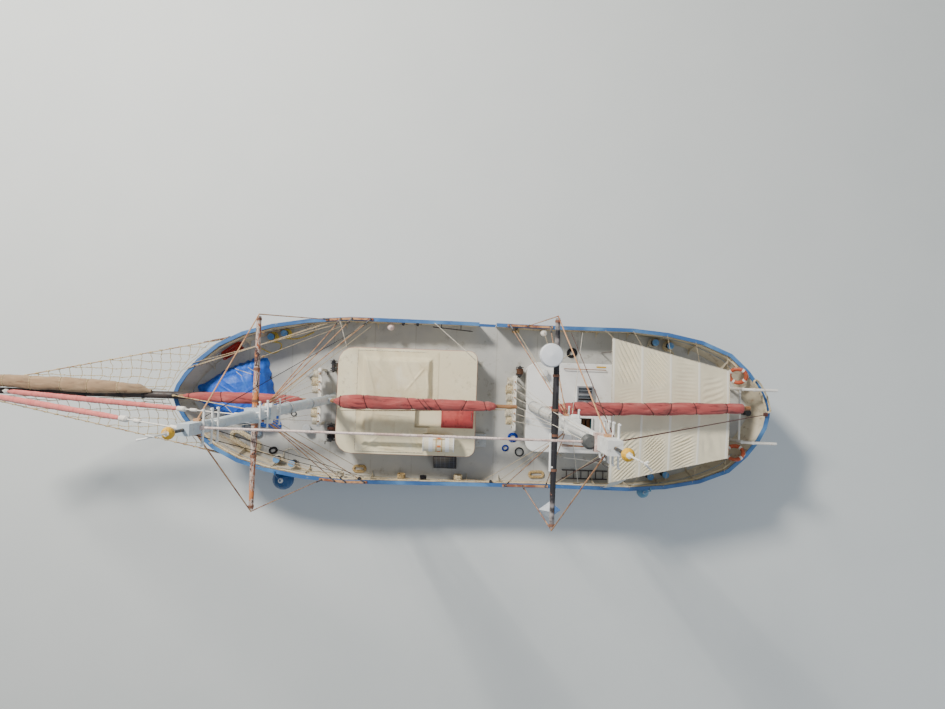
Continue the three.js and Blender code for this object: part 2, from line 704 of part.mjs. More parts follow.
// Life raft canister on its two cradles
function liferaft() {
  const { x0, x1, y, r, lift, cradleX, cradleHalf } = LIFERAFT;
  const z = HOUSE_A.roofZ + GAP;
  const drum = bar(at(x0, y, z + lift), at(x1, y, z + lift), r, r, 20);
  const cradle = cradleX.map((x) => box(x, x + 70, y - cradleHalf, y + cradleHalf, z, z + 120));
  return join(drum, ...cradle);
}

function houseB() {
  const { x0, x1, half, wall } = HOUSE_B;
  const windows = [-4700, -3900, -3100].map((x) => box(x - 220, x + 220, -half - 50, half + 50, 1950, 2330));
  const mastSlot = upright(MAIN.x, 0, MAIN.base + 90, DECK_Z - 100, 2900, 16);
  const doorway = box(x0 - 50, x0 + wall + 30, DOOR.y0, DOOR.y1, DOOR.z0, DOOR.z1);
  return walls(
    HOUSE_B, roundedPlan(x0, x1, half, 120, 300),
    roundedPlan(x0 + wall, x1 - wall, half - wall, 120 - wall, 300 - wall),
    [...windows, mastSlot, doorway]);
}

const DOOR = { y0: 60, y1: 760, z0: 1420, z1: 2560 };
const LID = { x0: -4070, x1: -3510, y0: -780, y1: -220 };
const COMPANION = { x0: -4110, x1: -3530, y0: 270, y1: 800 };
const COAMING = 90;

function houseBRoof() {
  const top = HOUSE_B.roofZ;
  const roof = slab(roundedPlan(HOUSE_B.x0 - 40, HOUSE_B.x1 + 40, HOUSE_B.half + 40, 160, 340),
    top - HOUSE_B.roofThick, top);
  const inside = (h, edge, z0, z1) => box(h.x0 + edge, h.x1 - edge, h.y0 + edge, h.y1 - edge, z0, z1);
  const coamings = [LID, COMPANION].map((h) => inside(h, 20, top - 20, top + COAMING));
  const holes = [LID, COMPANION].map((h) => inside(h, 60, top - 200, top + 200));
  const vent = turned([
    [0, top - 20], [90, top - 20], [90, top + 130], [150, top + 150], [110, top + 230], [0, top + 250],
  ], -2340, -1180, 12);
  const mastHole = upright(MAIN.x, 0, MAIN.base + 25, top - 200, top + 200, 16);
  return cut(join(roof, ...coamings, vent), ...holes, mastHole);
}

function skylightLid() {
  const z = HOUSE_B.roofZ + COAMING + GAP;
  return box(LID.x0, LID.x1, LID.y0, LID.y1, z, z + 45);
}

function aftDoor() {
  const x = HOUSE_B.x0 - GAP;
  const leaf = box(x - 40, x, DOOR.y0 - 40, DOOR.y1 + 40, DOOR.z0 - 40, DOOR.z1 + 20);
  return join(leaf, box(x - 80, x - 30, DOOR.y0 + 20, DOOR.y0 + 60, 1960, 2040));
}

// Awning over the after deck and the frame that spreads it
function awningHalf(x) {
  return mix(AWNING.aftHalf, AWNING.frontHalf, (x - AWNING.x0) / (AWNING.x1 - AWNING.x0));
}

const poleX = (i) => AWNING.x1 - AWNING_POLES.first - i * AWNING_POLES.spacing;

// Rows across the awning: place along the ship, how far it sags there
function awningRows() {
  const rows = [[AWNING.x1, 0]];
  for (let i = 0; i < AWNING_POLES.count; i += 1) {
    rows.push([poleX(i), 0]);
    if (i < AWNING_POLES.count - 1) {
      rows.push([(poleX(i) + poleX(i + 1)) / 2, AWNING.sag]);
    }
  }
  return rows;
}

function awning() {
  const halves = [1, -1].map((side) => loft(awningRows().map(([x, sag]) => {
    const w = awningHalf(x);
    const ridge = AWNING.ridgeZ - sag;
    const edge = ridge - AWNING.camber * w;
    return [
      at(x, 0, ridge), at(x, side * w, edge), at(x, side * w, edge + AWNING.thick),
      at(x, 0, ridge + AWNING.thick),
    ];
  })));
  return join(...halves);
}

function awningFrame() {
  const { count, r, legY } = AWNING_POLES;
  const pieces = [];
  const drop = r - 2;
  for (let i = 0; i < count; i += 1) {
    const x = poleX(i);
    const w = awningHalf(x) - 40;
    const edge = AWNING.ridgeZ - AWNING.camber * w - drop;
    pieces.push(bar(at(x, -w, edge), at(x, 0, AWNING.ridgeZ - drop), r, r, 8));
    pieces.push(bar(at(x, w, edge), at(x, 0, AWNING.ridgeZ - drop), r, r, 8));
    pieces.push(ball(at(x, 0, AWNING.ridgeZ - drop), r, 8));
    if (i % 2 === 0) {
      const leg = Math.min(w, legY);
      const legTop = mix(AWNING.ridgeZ - drop, edge, leg / w);
      [1, -1].forEach((side) => pieces.push(upright(x, side * leg, r, deckZ(x) - 30, legTop, 8)));
    }
  }
  const ridge = AWNING.ridgeZ - drop - AWNING.sag;
  pieces.push(bar(at(poleX(0), 0, ridge), at(poleX(count - 1), 0, ridge), r, r, 8));
  return cut(onDeck(join(...pieces)), awning().translate(0, 0, -GAP));
}

// Rail with belaying pins at the foot of a mast
function fifeRail(x, y0, y1) {
  const high = 880;
  const top = DECK_Z + high;
  const posts = [y0 + 80, (y0 + y1) / 2, y1 - 80].map((y) => box(
    x - 45, x + 45, y - 45, y + 45, DECK_Z - 10, top));
  const pins = [];
  for (let y = y0 + 220; y < y1 - 150; y += 280) {
    pins.push(upright(x, y, 18, top - 250, top + 160, 6));
  }
  return onDeck(join(...posts, box(x - 60, x + 60, y0, y1, top - 70, top), ...pins));
}

// Winches on deck: name, x and y of the drum's middle, drum radius, half its length, number of drums
const WINCHES = [
  ['winch_fore_port', 5150, 1210, 120, 300, 2], ['winch_fore_starboard', 5150, -1180, 100, 190, 1],
  ['winch_main', -1590, -1210, 105, 170, 1],
];

function winch([, x, y, r, half, drums]) {
  const axle = DECK_Z + 470;
  const disc = (middle, halfThick, radius) => bar(
    at(x, middle - halfThick, axle), at(x, middle + halfThick, axle), radius, radius, 14);
  const pieces = [
    disc(y, half, r * 0.7), disc(y - half + 15, 15, r * 1.3), disc(y + half - 15, 15, r * 1.3),
  ];
  for (let i = 0; i <= drums; i += 1) {
    const cheekY = mix(y - half, y + half, (i + 0.5) / (drums + 1));
    pieces.push(box(x - r, x + r, cheekY - 25, cheekY + 25, DECK_Z - 10, axle + r * 0.5));
  }
  return onDeck(join(...pieces));
}

// Windlass on the foredeck under its tarpaulin
function windlassTarp() {
  const rows = [
    [9430, 520, 300], [8900, 880, 600], [8300, 1130, 800], [7700, 1330, 740], [7220, 1380, 380],
  ];
  return onDeck(loft(rows.map(([x, half, high]) => {
    const z = deckZ(x) - 10;
    return [
      at(x, -half, z), at(x, -half * 0.85, z + high * 0.55), at(x, -half * 0.4, z + high),
      at(x, half * 0.4, z + high), at(x, half * 0.85, z + high * 0.55), at(x, half, z),
    ];
  })));
}

// Steering
const WHEEL = { x: -7450, z: 2320, r: 480 };

function steeringStand() {
  const base = deckZ(WHEEL.x + 500) - 10;
  return onDeck(join(
    box(WHEEL.x + 120, WHEEL.x + 520, -210, 210, base, WHEEL.z - 150),
    box(WHEEL.x + 100, WHEEL.x + 540, -230, 230, WHEEL.z - 200, WHEEL.z + 130),
    bar(at(WHEEL.x + 150, 0, WHEEL.z), at(WHEEL.x + 45 + GAP, 0, WHEEL.z), 50, 50, 12),
  ));
}

function steeringWheel() {
  const rim = new THREE.TorusGeometry(WHEEL.r, 24, 8, 28).rotateY(Math.PI / 2);
  const pieces = [rim.translate(WHEEL.x, 0, WHEEL.z)];
  pieces.push(bar(at(WHEEL.x - 45, 0, WHEEL.z), at(WHEEL.x + 45, 0, WHEEL.z), 70, 70, 12));
  for (let i = 0; i < 8; i += 1) {
    const a = (i * Math.PI) / 4;
    const end = at(WHEEL.x, (WHEEL.r + 150) * Math.cos(a), WHEEL.z + (WHEEL.r + 150) * Math.sin(a));
    pieces.push(bar(at(WHEEL.x, 0, WHEEL.z), end, 16, 18, 6));
  }
  return join(...pieces);
}

const DAVIT_Y = [-860, 980];

function davits() {
  const footX = -9350;
  const arm = (y) => wireThrough([
    at(footX, y, deckZ(footX) - 30), at(footX, y, 2700), at(footX - 300, y, 2930), at(-10420, y, 3000),
  ], 50, 10);
  const bridge = bar(at(footX, DAVIT_Y[0], 2450), at(footX, DAVIT_Y[1], 2450), 40, 40, 8);
  return onDeck(join(arm(DAVIT_Y[0]), arm(DAVIT_Y[1]), bridge));
}

const railPieces = (side) => SIDES.filter((row) => row[1] === side)
  .map(([, , x0, x1]) => capRail(side, x0, x1));

// Ball fender against the port side, on a lanyard from the cap rail
function fender(x, r) {
  const hang = skin(stationAt(x), 1500, 1);
  const lip = skin(stationAt(x), railZ(x), 1);
  const centre = at(x, hang.y + r + 70, 1350);
  const hook = cut(
    box(x - 25, x + 25, lip.y - 30, lip.y + 90, railZ(x) - 15, railZ(x) + 35),
    ...railPieces(1).map((rail) => rail.translate(0, 0, GAP)),
    ...railPieces(1).map((rail) => rail.translate(0, GAP, -CAP_THICK / 2)),
    ...railPieces(1).map((rail) => rail.translate(0, GAP, 0)));
  return join(
    ball(centre, r, 14), upright(x, centre.y, 35, centre.z + r - 15, centre.z + r + 70, 8),
    bar(at(x, centre.y, centre.z + r + 50), at(x, lip.y + 72, railZ(x) + 20), 12, 12, 6), hook);
}

const mainSpreader = spreader(MAIN, MAIN_SPREADER);

function radome() {
  const y = -1600;
  const x = spreaderX(MAIN, MAIN_SPREADER);
  const top = MAIN.houndsZ + MAIN_SPREADER.thick / 2;
  const dome = turned([
    [0, top + 60], [275, top + 60], [284, top + 160], [255, top + 260], [0, top + 300],
  ], -1600, y, 20);
  const foot = box(x - 40, x + 40, y - 50, y + 50, MAIN.houndsZ + 20, top + 120);
  return cut(join(dome, foot), mainSpreader.clone().translate(0, 0, GAP));
}

function reflector() {
  const x = spreaderX(MAIN, MAIN_SPREADER);
  const z = MAIN.houndsZ - 420;
  const shape = new THREE.OctahedronGeometry(250).scale(1.08, 0.82, 1).translate(x, 2150, z);
  const hanger = upright(x, 2150, 12, z, MAIN.houndsZ - 20, 6);
  return cut(join(shape, hanger), mainSpreader.clone().translate(0, 0, -GAP));
}

function solarPanel() {
  const edge = HOUSE_A.half + 40 + GAP;
  return onDeck(loft([600, 1420].map((x) => [
    at(x, edge, 2260), at(x, edge + 40, 2285), at(x, 2420, DECK_Z + 35), at(x, 2375, DECK_Z - 5),
  ])));
}

// Stays between the mastheads and from the main masthead to the taffrail, held by a collar on the mast
function mastheadStays() {
  const half = MAIN.head + BAND + GAP;
  const z = 14180;
  const collar = cut(
    box(MAIN.x - half - 40, MAIN.x + half + 40, -half - 40, half + 40, z - 80, z + 80),
    box(MAIN.x - half, MAIN.x + half, -half, half, z - 200, z + 200),
  );
  const foreFace = FORE.x - (FORE.head + BAND + GAP);
  const foreBlock = box(foreFace - 50, foreFace, -35, 35, 13950, 14050);
  const triatic = bar(at(foreFace - 25, 0, 14000), at(MAIN.x + half + 20, 0, z), 22, 22, 8);
  const footX = -10200;
  const footZ = railZ(footX) + 60;
  const backstay = bar(at(MAIN.x - half - 20, 0, z), at(footX, 0, footZ), WIRE, WIRE, 6);
  const foot = cut(
    box(footX - 60, footX + 60, -60, 60, railZ(footX) - 15, footZ + 20),
    ...[1, -1].flatMap(railPieces).map((rail) => rail.translate(0, 0, GAP)));
  return join(collar, foreBlock, triatic, backstay, foot);
}

// Assembly
add('hull', hull(), HULL_BLUE);
add('deck', deck(), DECK_GREY);
SIDES.forEach(([name, side, x0, x1]) => {
  add(`bulwark_${name}`, bulwark(side, x0, x1), CREAM);
  add(`cap_rail_${name}`, capRail(side, x0, x1), HULL_BLUE);
});
add('propeller', propeller(), BRONZE);
add('rudder', rudder(), HULL_BLUE);

add('foremast', join(mast(FORE), gooseneck(FORE, FORE_BOOM)), MAST_BLUE);
add('mainmast', join(mast(MAIN), gooseneck(MAIN, MAIN_BOOM)), WHITE);
add('fore_truck', truck(FORE, 15050, 15750), YELLOW);
add('main_truck', truck(MAIN, 15900, 17000), YELLOW);
add('fore_spreader', spreader(FORE, FORE_SPREADER), RUST);
add('main_spreader', mainSpreader, BLACK);
[['port', 1], ['starboard', -1]].forEach(([name, side]) => {
  add(`fore_shrouds_${name}`, shrouds(
    FORE, FORE_SPREADER, side, [4850, 4460, 3800], 5290, 13900), RUST);
  add(`main_shrouds_${name}`, shrouds(
    MAIN, MAIN_SPREADER, side, [-1150, -2590], -1780, 14500), RUST);
});
add('masthead_stays', mastheadStays(), STEEL);
add('radome', radome(), WHITE);
add('radar_reflector', reflector(), STEEL);

add('bowsprit', bowsprit(), BLACK);
add('bowsprit_stays', bowspritStays(), ROPE);

add('forestay', join(
  ...stayBetween([10170, STAY_FOOT_Z], FORE.hounds + BAND, FORE.houndsZ - 250).pieces), STEEL);
add('sail_bag', sailBag(), TAN);
add('inner_jib', furledJib(TACKS[0], FORE.hounds + BAND, FORE.houndsZ + 950, JIB_R), SALMON);
add('outer_jib', furledJib(TACKS[1], FORE.head + BAND, 14250, JIB_R), SALMON);

add('foresail', bundle(FORE_BOOM, 4790, -700, SAIL_ROWS), TERRACOTTA);
add('mainsail', bundle(MAIN_BOOM, -2420, -8900, SAIL_ROWS), TERRACOTTA);
add('staysail', bundle(STAY_BOOM, 9750, 5900, STAYSAIL_ROWS), TERRACOTTA);

add('fife_rail_fore', fifeRail(5530, -1100, 1000), WHITE);
add('fife_rail_main', fifeRail(-1400, -1060, 900), CREAM);
WINCHES.forEach((row) => add(row[0], winch(row), BLACK));

add('fore_boom', boomSpar(FORE_BOOM), WOOD);
add('main_boom', boomSpar(MAIN_BOOM), WOOD);
add('staysail_boom', boomSpar(STAY_BOOM), WOOD);

add('house_fore', houseA(), CREAM);
add('house_fore_roof', houseARoof(), CREAM);
add('sliding_hatch', redHatch(), RED);
add('house_tarpaulin', houseTarp(), CANVAS);
add('liferaft', liferaft(), CREAM);
add('house_aft', houseB(), WHITE);
add('house_aft_roof', houseBRoof(), WHITE);
add('skylight_lid', skylightLid(), STEEL);
add('house_aft_door', aftDoor(), WHITE);
add('awning', awning(), CANVAS);
add('awning_frame', awningFrame(), STEEL);
add('windlass_tarpaulin', windlassTarp(), TARP_BLUE);
add('steering_stand', steeringStand(), WHITE);
add('steering_wheel', steeringWheel(), WOOD);
add('stern_davits', davits(), WHITE);
add('fender_fore', fender(6900, 390), RUBBER_BLUE);
add('fender_aft', fender(-6300, 225), RUBBER_BLUE);
add('solar_panel', solarPanel(), PANEL);

export default group;
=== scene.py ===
import random
from itertools import product
from math import atan2, copysign, cos, exp, hypot, pi, radians, sin, tau

import bmesh
import bpy
from mathutils import Matrix, Vector, noise
from mathutils.bvhtree import BVHTree


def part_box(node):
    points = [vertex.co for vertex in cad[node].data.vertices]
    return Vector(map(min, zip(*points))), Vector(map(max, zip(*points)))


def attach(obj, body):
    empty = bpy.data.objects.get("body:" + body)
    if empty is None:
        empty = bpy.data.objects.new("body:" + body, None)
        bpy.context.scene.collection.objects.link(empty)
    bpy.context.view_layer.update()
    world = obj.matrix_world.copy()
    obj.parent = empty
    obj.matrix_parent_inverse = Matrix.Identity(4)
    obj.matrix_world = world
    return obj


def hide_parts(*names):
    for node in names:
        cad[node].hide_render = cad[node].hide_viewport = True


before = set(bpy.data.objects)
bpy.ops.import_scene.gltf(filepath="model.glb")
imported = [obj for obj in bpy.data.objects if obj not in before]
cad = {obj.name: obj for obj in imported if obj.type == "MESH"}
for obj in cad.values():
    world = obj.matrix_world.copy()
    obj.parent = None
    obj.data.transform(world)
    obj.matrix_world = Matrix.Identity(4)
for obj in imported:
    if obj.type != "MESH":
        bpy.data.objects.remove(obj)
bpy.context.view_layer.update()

# The view: from almost straight above the fore house, 25.7 m over the water, with a wide lens,
# so that the masts lean out to both ends and the bow lies to the left of the picture.
lens = bpy.data.cameras.new("view_from_above")
lens.lens = 25.143
lens.sensor_width = 36
lens.clip_end = 300
view = bpy.data.objects.new("view_from_above", lens)
view.location = (0.473, -1.159, 25.7)
view.rotation_euler = [radians(a) for a in (1.4321, -0.8244, -177.9902)]
bpy.context.scene.collection.objects.link(view)
bpy.context.scene.camera = view

# The loose ropes: mooring line and hose flaked down on the foredeck, halyard tails coiled on the
# deck and hung in loops on the pins of the fife rails, lines thrown over the stern rail. Laid
# natural fibre and synthetic rope of 14 to 45 mm, all lying on or hung from the ship itself.
def rgb(red, green, blue):
    """A colour given as 0 to 255 on screen, as the linear values that shaders take."""
    shares = [channel / 255 for channel in (red, green, blue)]
    return tuple(s / 12.92 if s < 0.0404 else ((s + 0.055) / 1.055) ** 2.4 for s in shares) + (1,)


class Finish:
    """The surface of one kind of piece, built up layer by layer with patterns sized in metres."""

    def __init__(self, name, colour, roughness=0.6, **sockets):
        self.material = bpy.data.materials.new(name)
        self.material.use_nodes = True
        self.tree = self.material.node_tree
        self.shader = self.tree.nodes["Principled BSDF"].inputs
        self.colour = rgb(*colour)
        self.shader["Base Color"].default_value = self.colour
        self.shader["Roughness"].default_value = roughness
        for socket, value in sockets.items():
            self.shader[socket.replace("_", " ")].default_value = value
        self.bumps = None

    def node(self, kind, inputs, **settings):
        made = self.tree.nodes.new("ShaderNode" + kind)
        for name, value in settings.items():
            setattr(made, name, value)
        for name, value in inputs.items():
            if isinstance(value, bpy.types.NodeSocket):
                self.tree.links.new(value, made.inputs[name])
            else:
                made.inputs[name].default_value = value
        return made

    def place(self, stretch=(1, 1, 1), turn=(0, 0, 0)):
        """Where a pattern is read: metres on the ship."""
        where = self.node("TexCoord", {}).outputs["Object"]
        return self.node("Mapping", {"Vector": where, "Scale": stretch, "Rotation": turn}).outputs[0]

    def cloud(self, size, detail=4, rough=0.6, bend=0, **place):
        """Blots about size metres across, from 0 to 1."""
        return self.node("TexNoise", {
            "Vector": self.place(**place), "Scale": 1 / size, "Detail": detail, "Roughness": rough,
            "Distortion": bend,
        }).outputs[0]

    def stripes(self, pitch, **place):
        """Stripes across X with one every pitch metres, from 0 to 1."""
        return self.node("TexWave", {"Vector": self.place(**place), "Scale": 0.314 / pitch}).outputs[0]

    def from_to(self, value, low, high, start=0, end=1):
        """Turns low..high of a pattern into start..end, smoothly."""
        return self.node("MapRange", {
            "Value": value, "From Min": low, "From Max": high, "To Min": start, "To Max": end,
        }, interpolation_type="SMOOTHSTEP").outputs[0]

    def metres(self, axis):
        """Metres along the ship, across it or up, for axis 0, 1 or 2."""
        return self.node("SeparateXYZ", {0: self.place()}).outputs[axis]

    def times(self, a, b):
        return self.node("Math", {0: a, 1: b}, operation="MULTIPLY").outputs[0]

    def tint(self, share, colour, blend="MIX"):
        """Lays a colour over what is there, by a pattern's share."""
        self.colour = self.node("Mix", {0: share, 6: self.colour, 7: rgb(*colour)}, data_type="RGBA",
                                blend_type=blend).outputs[2]
        self.tree.links.new(self.colour, self.shader["Base Color"])

    def blots(self, colour, low, high, end, size, **cloud):
        """Lays a colour over in blots about size metres across, up to end where they are thickest."""
        self.tint(self.from_to(self.cloud(size, **cloud), low, high, end=end), colour)

    def dull(self, size, low, high):
        """Makes the surface smoother and rougher, from low to high, in blots about size metres across."""
        self.tree.links.new(self.from_to(self.cloud(size), 0.3, 0.7, low, high), self.shader["Roughness"])

    def relief(self, value, height):
        """Raises the surface by a pattern, height metres from 0 to 1."""
        inputs = {"Height": value, "Distance": height}
        if self.bumps:
            inputs["Normal"] = self.bumps
        self.bumps = self.node("Bump", inputs).outputs[0]
        self.tree.links.new(self.bumps, self.shader["Normal"])

    def lumps(self, height, size, **cloud):
        """Raises the surface in blots about size metres across."""
        self.relief(self.cloud(size, **cloud), height)


def rope_finish(name, colour, worn):
    """Laid rope: light and dark strands, dirt, and a bristly surface."""
    finish = Finish(name, colour, 0.9, Specular_IOR_Level=0.2)
    strands = finish.cloud(0.035, detail=2, stretch=(1, 1.6, 1.3))
    finish.tint(finish.from_to(strands, 0.42, 0.6), worn)
    finish.tint(finish.from_to(finish.cloud(0.6), 0.5, 0.75, end=0.5), worn, "MULTIPLY")
    finish.relief(strands, 0.006)
    return finish


beige_rope = rope_finish("beige_rope", (242, 232, 200), (190, 166, 124))
white_rope = rope_finish("white_rope", (238, 232, 216), (188, 176, 150))
tan_rope = rope_finish("tan_rope", (214, 190, 140), (150, 120, 80))
blue_rope = rope_finish("blue_rope", (38, 78, 190), (20, 34, 90))
yellow_rope = rope_finish("yellow_rope", (236, 214, 112), (180, 148, 66))
black_rope = rope_finish("black_rope", (52, 50, 54), (20, 20, 24))
grey_hose = rope_finish("grey_hose", (150, 165, 180), (84, 92, 104))


def mesh_of(node):
    """A search tree over a node's surface, to lay things down on it."""
    mesh = cad[node].data
    return BVHTree.FromPolygons([v.co for v in mesh.vertices], [p.vertices for p in mesh.polygons])


deck_plate = mesh_of("deck")


def top_of(tree, x, y, above=30):
    """Height of a surface at x, y, seen from a height above it."""
    return tree.ray_cast(Vector((x, y, above)), Vector((0, 0, -1)))[0].z


def curve(name, runs, radius, finish, body="hull", closed=False, sides=3):
    """Round bars, wires or ropes of one thickness, each along its own run of points."""
    shape = bpy.data.curves.new(name, "CURVE")
    shape.dimensions = "3D"
    shape.bevel_depth = radius
    shape.bevel_resolution = sides
    shape.use_fill_caps = True
    for run in runs:
        spline = shape.splines.new("POLY")
        spline.points.add(len(run) - 1)
        for point, place in zip(spline.points, run):
            point.co = (*place, 1)
        spline.use_cyclic_u = closed
        spline.use_smooth = True
    shape.materials.append(finish.material)
    piece = bpy.data.objects.new(name, shape)
    bpy.context.scene.collection.objects.link(piece)
    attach(piece, body)
    return piece


def rope(name, run, diameter, finish, sides=3):
    """A free rope: a curve along its run, as thick as its diameter."""
    piece = curve(name, [run], diameter / 2, finish, sides=sides)
    length = sum((Vector(b) - Vector(a)).length for a, b in zip(run, run[1:]))
    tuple(run[0])


TURN_POINTS = 24


def oval(long, wide, angle):
    """A point of a turn with straight sides and round ends."""
    round_end = min(long, wide)
    straight = max(-1.0, min(1.0, 3 * cos(angle)))
    return (long - round_end) * straight + round_end * cos(angle), wide * sin(angle)


def eased(values, reach=7):
    """Evens out a list of numbers, so that a rope climbs and draws in without a kink."""
    for _ in range(2):
        padded = [values[0]] * reach + values + [values[-1]] * reach
        values = [sum(padded[n:n + 2 * reach + 1]) / (2 * reach + 1) for n in range(len(values))]
    return values


def wound(long, wide, thick, layers, seed):
    """Turns as a flat spiral, layer on layer: (turns, how many sizes in from the rim) for each
    layer. Gives places along the heap, across it and up from what it lies on."""
    shake = random.Random(seed)
    waves = [(shake.uniform(-1, 1), shake.uniform(0, 6.3), n) for n in (2, 3)]
    first = shake.uniform(0, 6.3)
    offs, heights = [], []
    for layer, (turns, inset) in enumerate(layers):
        count = int(turns * TURN_POINTS)
        for step in range(count):
            inward = step / count if layer % 2 == 0 else 1 - step / count
            offs.append((inset + inward * turns * 1.04) * thick)
            heights.append(thick * (0.5 + layer * 0.97))
    run = []
    for number, (off, height) in enumerate(zip(eased(offs), eased(heights))):
        angle = first + number / TURN_POINTS * tau
        ripple = sum(a * sin(n * angle + p) for a, p, n in waves) * 0.012 * (long + wide)
        run.append((*oval(long - off + ripple, wide - off + ripple, angle), height))
    return run


def hank(long, wide, thick, turns, seed):
    """Turns side by side, as a coil hangs on its pin."""
    run = []
    for step in range(turns * TURN_POINTS):
        angle = step / TURN_POINTS * tau
        slack = 1 + 0.06 * sin(angle * 0.37 + seed)
        run.append((*oval(long * slack, wide * (2 - slack), angle), thick * (0.5 + 1.06 * step / TURN_POINTS)))
    return run


def on_deck(run, x, y, turn):
    """Lays a coil on the deck, turned about an upright line."""
    placed = []
    for along, across, up in run:
        px = x + along * cos(turn) - across * sin(turn)
        py = y + along * sin(turn) + across * cos(turn)
        placed.append((px, py, top_of(deck_plate, px, py) + up))
    return placed


def against(run, centre, along, across):
    """Hangs a coil in the plane of two directions, its turns standing off to their normal."""
    along, across = Vector(along).normalized(), Vector(across).normalized()
    off = along.cross(across)
    return [tuple(Vector(centre) + along * a + across * b + off * c) for a, b, c in run]


# Heaps on deck: name, finish, x, y, half length, half width, turn, thickness, layers
HEAPS = [
    ("mooring_rope_heap", beige_rope, 8.24, 1.645, 0.6, 0.26, -0.56, 0.046,
     [(3, 0), (3, 0.4), (3, 0.1), (2, 0.8), (2, 1.2)]),
    ("deck_hose_heap", grey_hose, 8.06, 1.24, 0.38, 0.19, -0.5, 0.03, [(3.2, 0), (3, 0.3), (3, 0.1)]),
    ("black_cable_heap", black_rope, 7.3, 1.98, 0.16, 0.13, 0.3, 0.022, [(3, 0), (3, 0.3)]),
    ("blue_line_coil", blue_rope, -1.44, 1.22, 0.19, 0.18, 0.0, 0.026, [(4, 0), (3, 0.5)]),
    ("blue_line_end", blue_rope, -1.18, 1.62, 0.13, 0.12, 0.4, 0.024, [(2, 0), (2, 0.3)]),
    ("preventer_coil", black_rope, -3.53, -1.96, 0.2, 0.19, 0.6, 0.028, [(4, 0), (3, 1)]),
    ("port_side_coil", tan_rope, -2.35, 2.55, 0.3, 0.15, 0.05, 0.026, [(4, 0), (3, 0.4), (2, 0.9)]),
    ("bow_side_coil", tan_rope, 4.15, 2.55, 0.26, 0.15, 0.02, 0.026, [(4, 0), (3, 0.4), (2, 0.9)]),
]
for name, finish, x, y, long, wide, turn, thick, layers in HEAPS:
    rope(name, on_deck(wound(long, wide, thick, layers, len(name)), x, y, turn), thick, finish)


def through(points, steps=14):
    """A smooth run through a few points."""
    places = [Vector(p) for p in points]
    places = [places[0] * 2 - places[1]] + places + [places[-1] * 2 - places[-2]]
    run = []
    for a, b, c, d in zip(places, places[1:], places[2:], places[3:]):
        for step in range(steps):
            t = step / steps
            run.append(tuple(0.5 * (2 * b + (c - a) * t + (2 * a - 5 * b + 4 * c - d) * t * t
                                    + (3 * b - a - 3 * c + d) * t ** 3)))
    return run + [tuple(places[-2])]


# Coils on the pins of the fife rails: mast, x of its pins; for each coil y of its pin, half drop,
# half width, thickness, turns, finish
PIN_COILS = [
    ("fore", 5.53, [
        (-0.88, 0.24, 0.135, 0.028, 6, white_rope), (-0.6, 0.27, 0.155, 0.03, 7, beige_rope),
        (-0.32, 0.22, 0.135, 0.026, 7, white_rope), (0.24, 0.23, 0.135, 0.026, 6, white_rope),
        (0.52, 0.25, 0.145, 0.028, 7, beige_rope), (0.8, 0.2, 0.125, 0.024, 6, white_rope)]),
    ("main", -1.4, [
        (-0.84, 0.25, 0.135, 0.028, 6, white_rope), (-0.56, 0.28, 0.155, 0.03, 7, beige_rope),
        (-0.28, 0.25, 0.145, 0.028, 7, white_rope), (0.00, 0.24, 0.135, 0.028, 6, beige_rope),
        (0.28, 0.27, 0.145, 0.03, 7, white_rope), (0.56, 0.22, 0.135, 0.026, 7, beige_rope)]),
]
RAIL_TOP, RAIL_HALF = 2.18, 0.06
for mast, x, coils in PIN_COILS:
    for number, (y, drop, wide, thick, turns, finish) in enumerate(coils, 1):
        middle = (x + (RAIL_HALF + 0.004), y, RAIL_TOP + 0.02 - drop)
        run = against(hank(drop, wide, thick, turns, y), middle, (0, 0, 1), (0, -1, 0))
        # over the rail from its pin, then down in its turns
        start = [(x + 0.02, y + 0.15, RAIL_TOP + thick / 2), (x + 0.05, y + 0.08, RAIL_TOP + thick * 0.7)]
        rope(f"{mast}_pin_coil_{number}", through(start + [run[0]], 6)[:-1] + run, thick, finish)

# Mooring line left on the bollards: name, x and y of the post, finish, turns, how loose, where
# the tail lies on deck
POST_TURNS = [
    ("starboard_fore_1", 7.42, -2.15, yellow_rope, 6, 0.06,
     [(7.19, -1.93), (7.21, -1.7), (7.48, -1.57), (7.86, -1.72)]),
    ("starboard_fore_2", 6.95, -2.29, yellow_rope, 6, 0.05, [(6.7, -2.12), (6.4, -2.2), (6.0, -2.4)]),
    ("port_fore", 7.05, 2.25, white_rope, 3, 0.02, [(6.88, 1.98), (6.6, 1.9), (6.35, 2.1)]),
    ("starboard_aft", -7.05, -2.34, beige_rope, 6, 0.06,
     [(-7.28, -2.11), (-7.25, -1.88), (-7.0, -1.76), (-6.65, -1.9)]),
    ("starboard_mid", -6.5, -2.44, white_rope, 4, 0.04, [(-6.25, -2.2), (-5.9, -2.15), (-5.6, -2.3)]),
]
POST_R, POST_LINE = 0.095, 0.042
for name, x, y, finish, turns, loose, tail in POST_TURNS:
    foot = top_of(deck_plate, x, y, 1.5)
    start = atan2(tail[0][1] - y, tail[0][0] - x) - 1.3
    run = []
    for step in range(turns * 20 + 1):
        share = step / (turns * 20)
        angle = start - (1 - share) * turns * tau
        off = POST_R + POST_LINE * 0.55 + loose * (0.5 + 0.5 * sin(angle * 1.31))
        run.append((x + off * cos(angle), y + off * sin(angle),
                    foot + 0.08 + (1 - share) * turns * POST_LINE * 1.05))
    down = [(px, py, top_of(deck_plate, px, py) + POST_LINE / 2) for px, py in tail]
    rope("post_line_" + name, run[:-1] + through([run[-1]] + down), POST_LINE, finish)

# A line flaked down in long loops on the stern rail
STERN_R, STERN_X, STERN_Y = 1.905, -8.4, 0.1


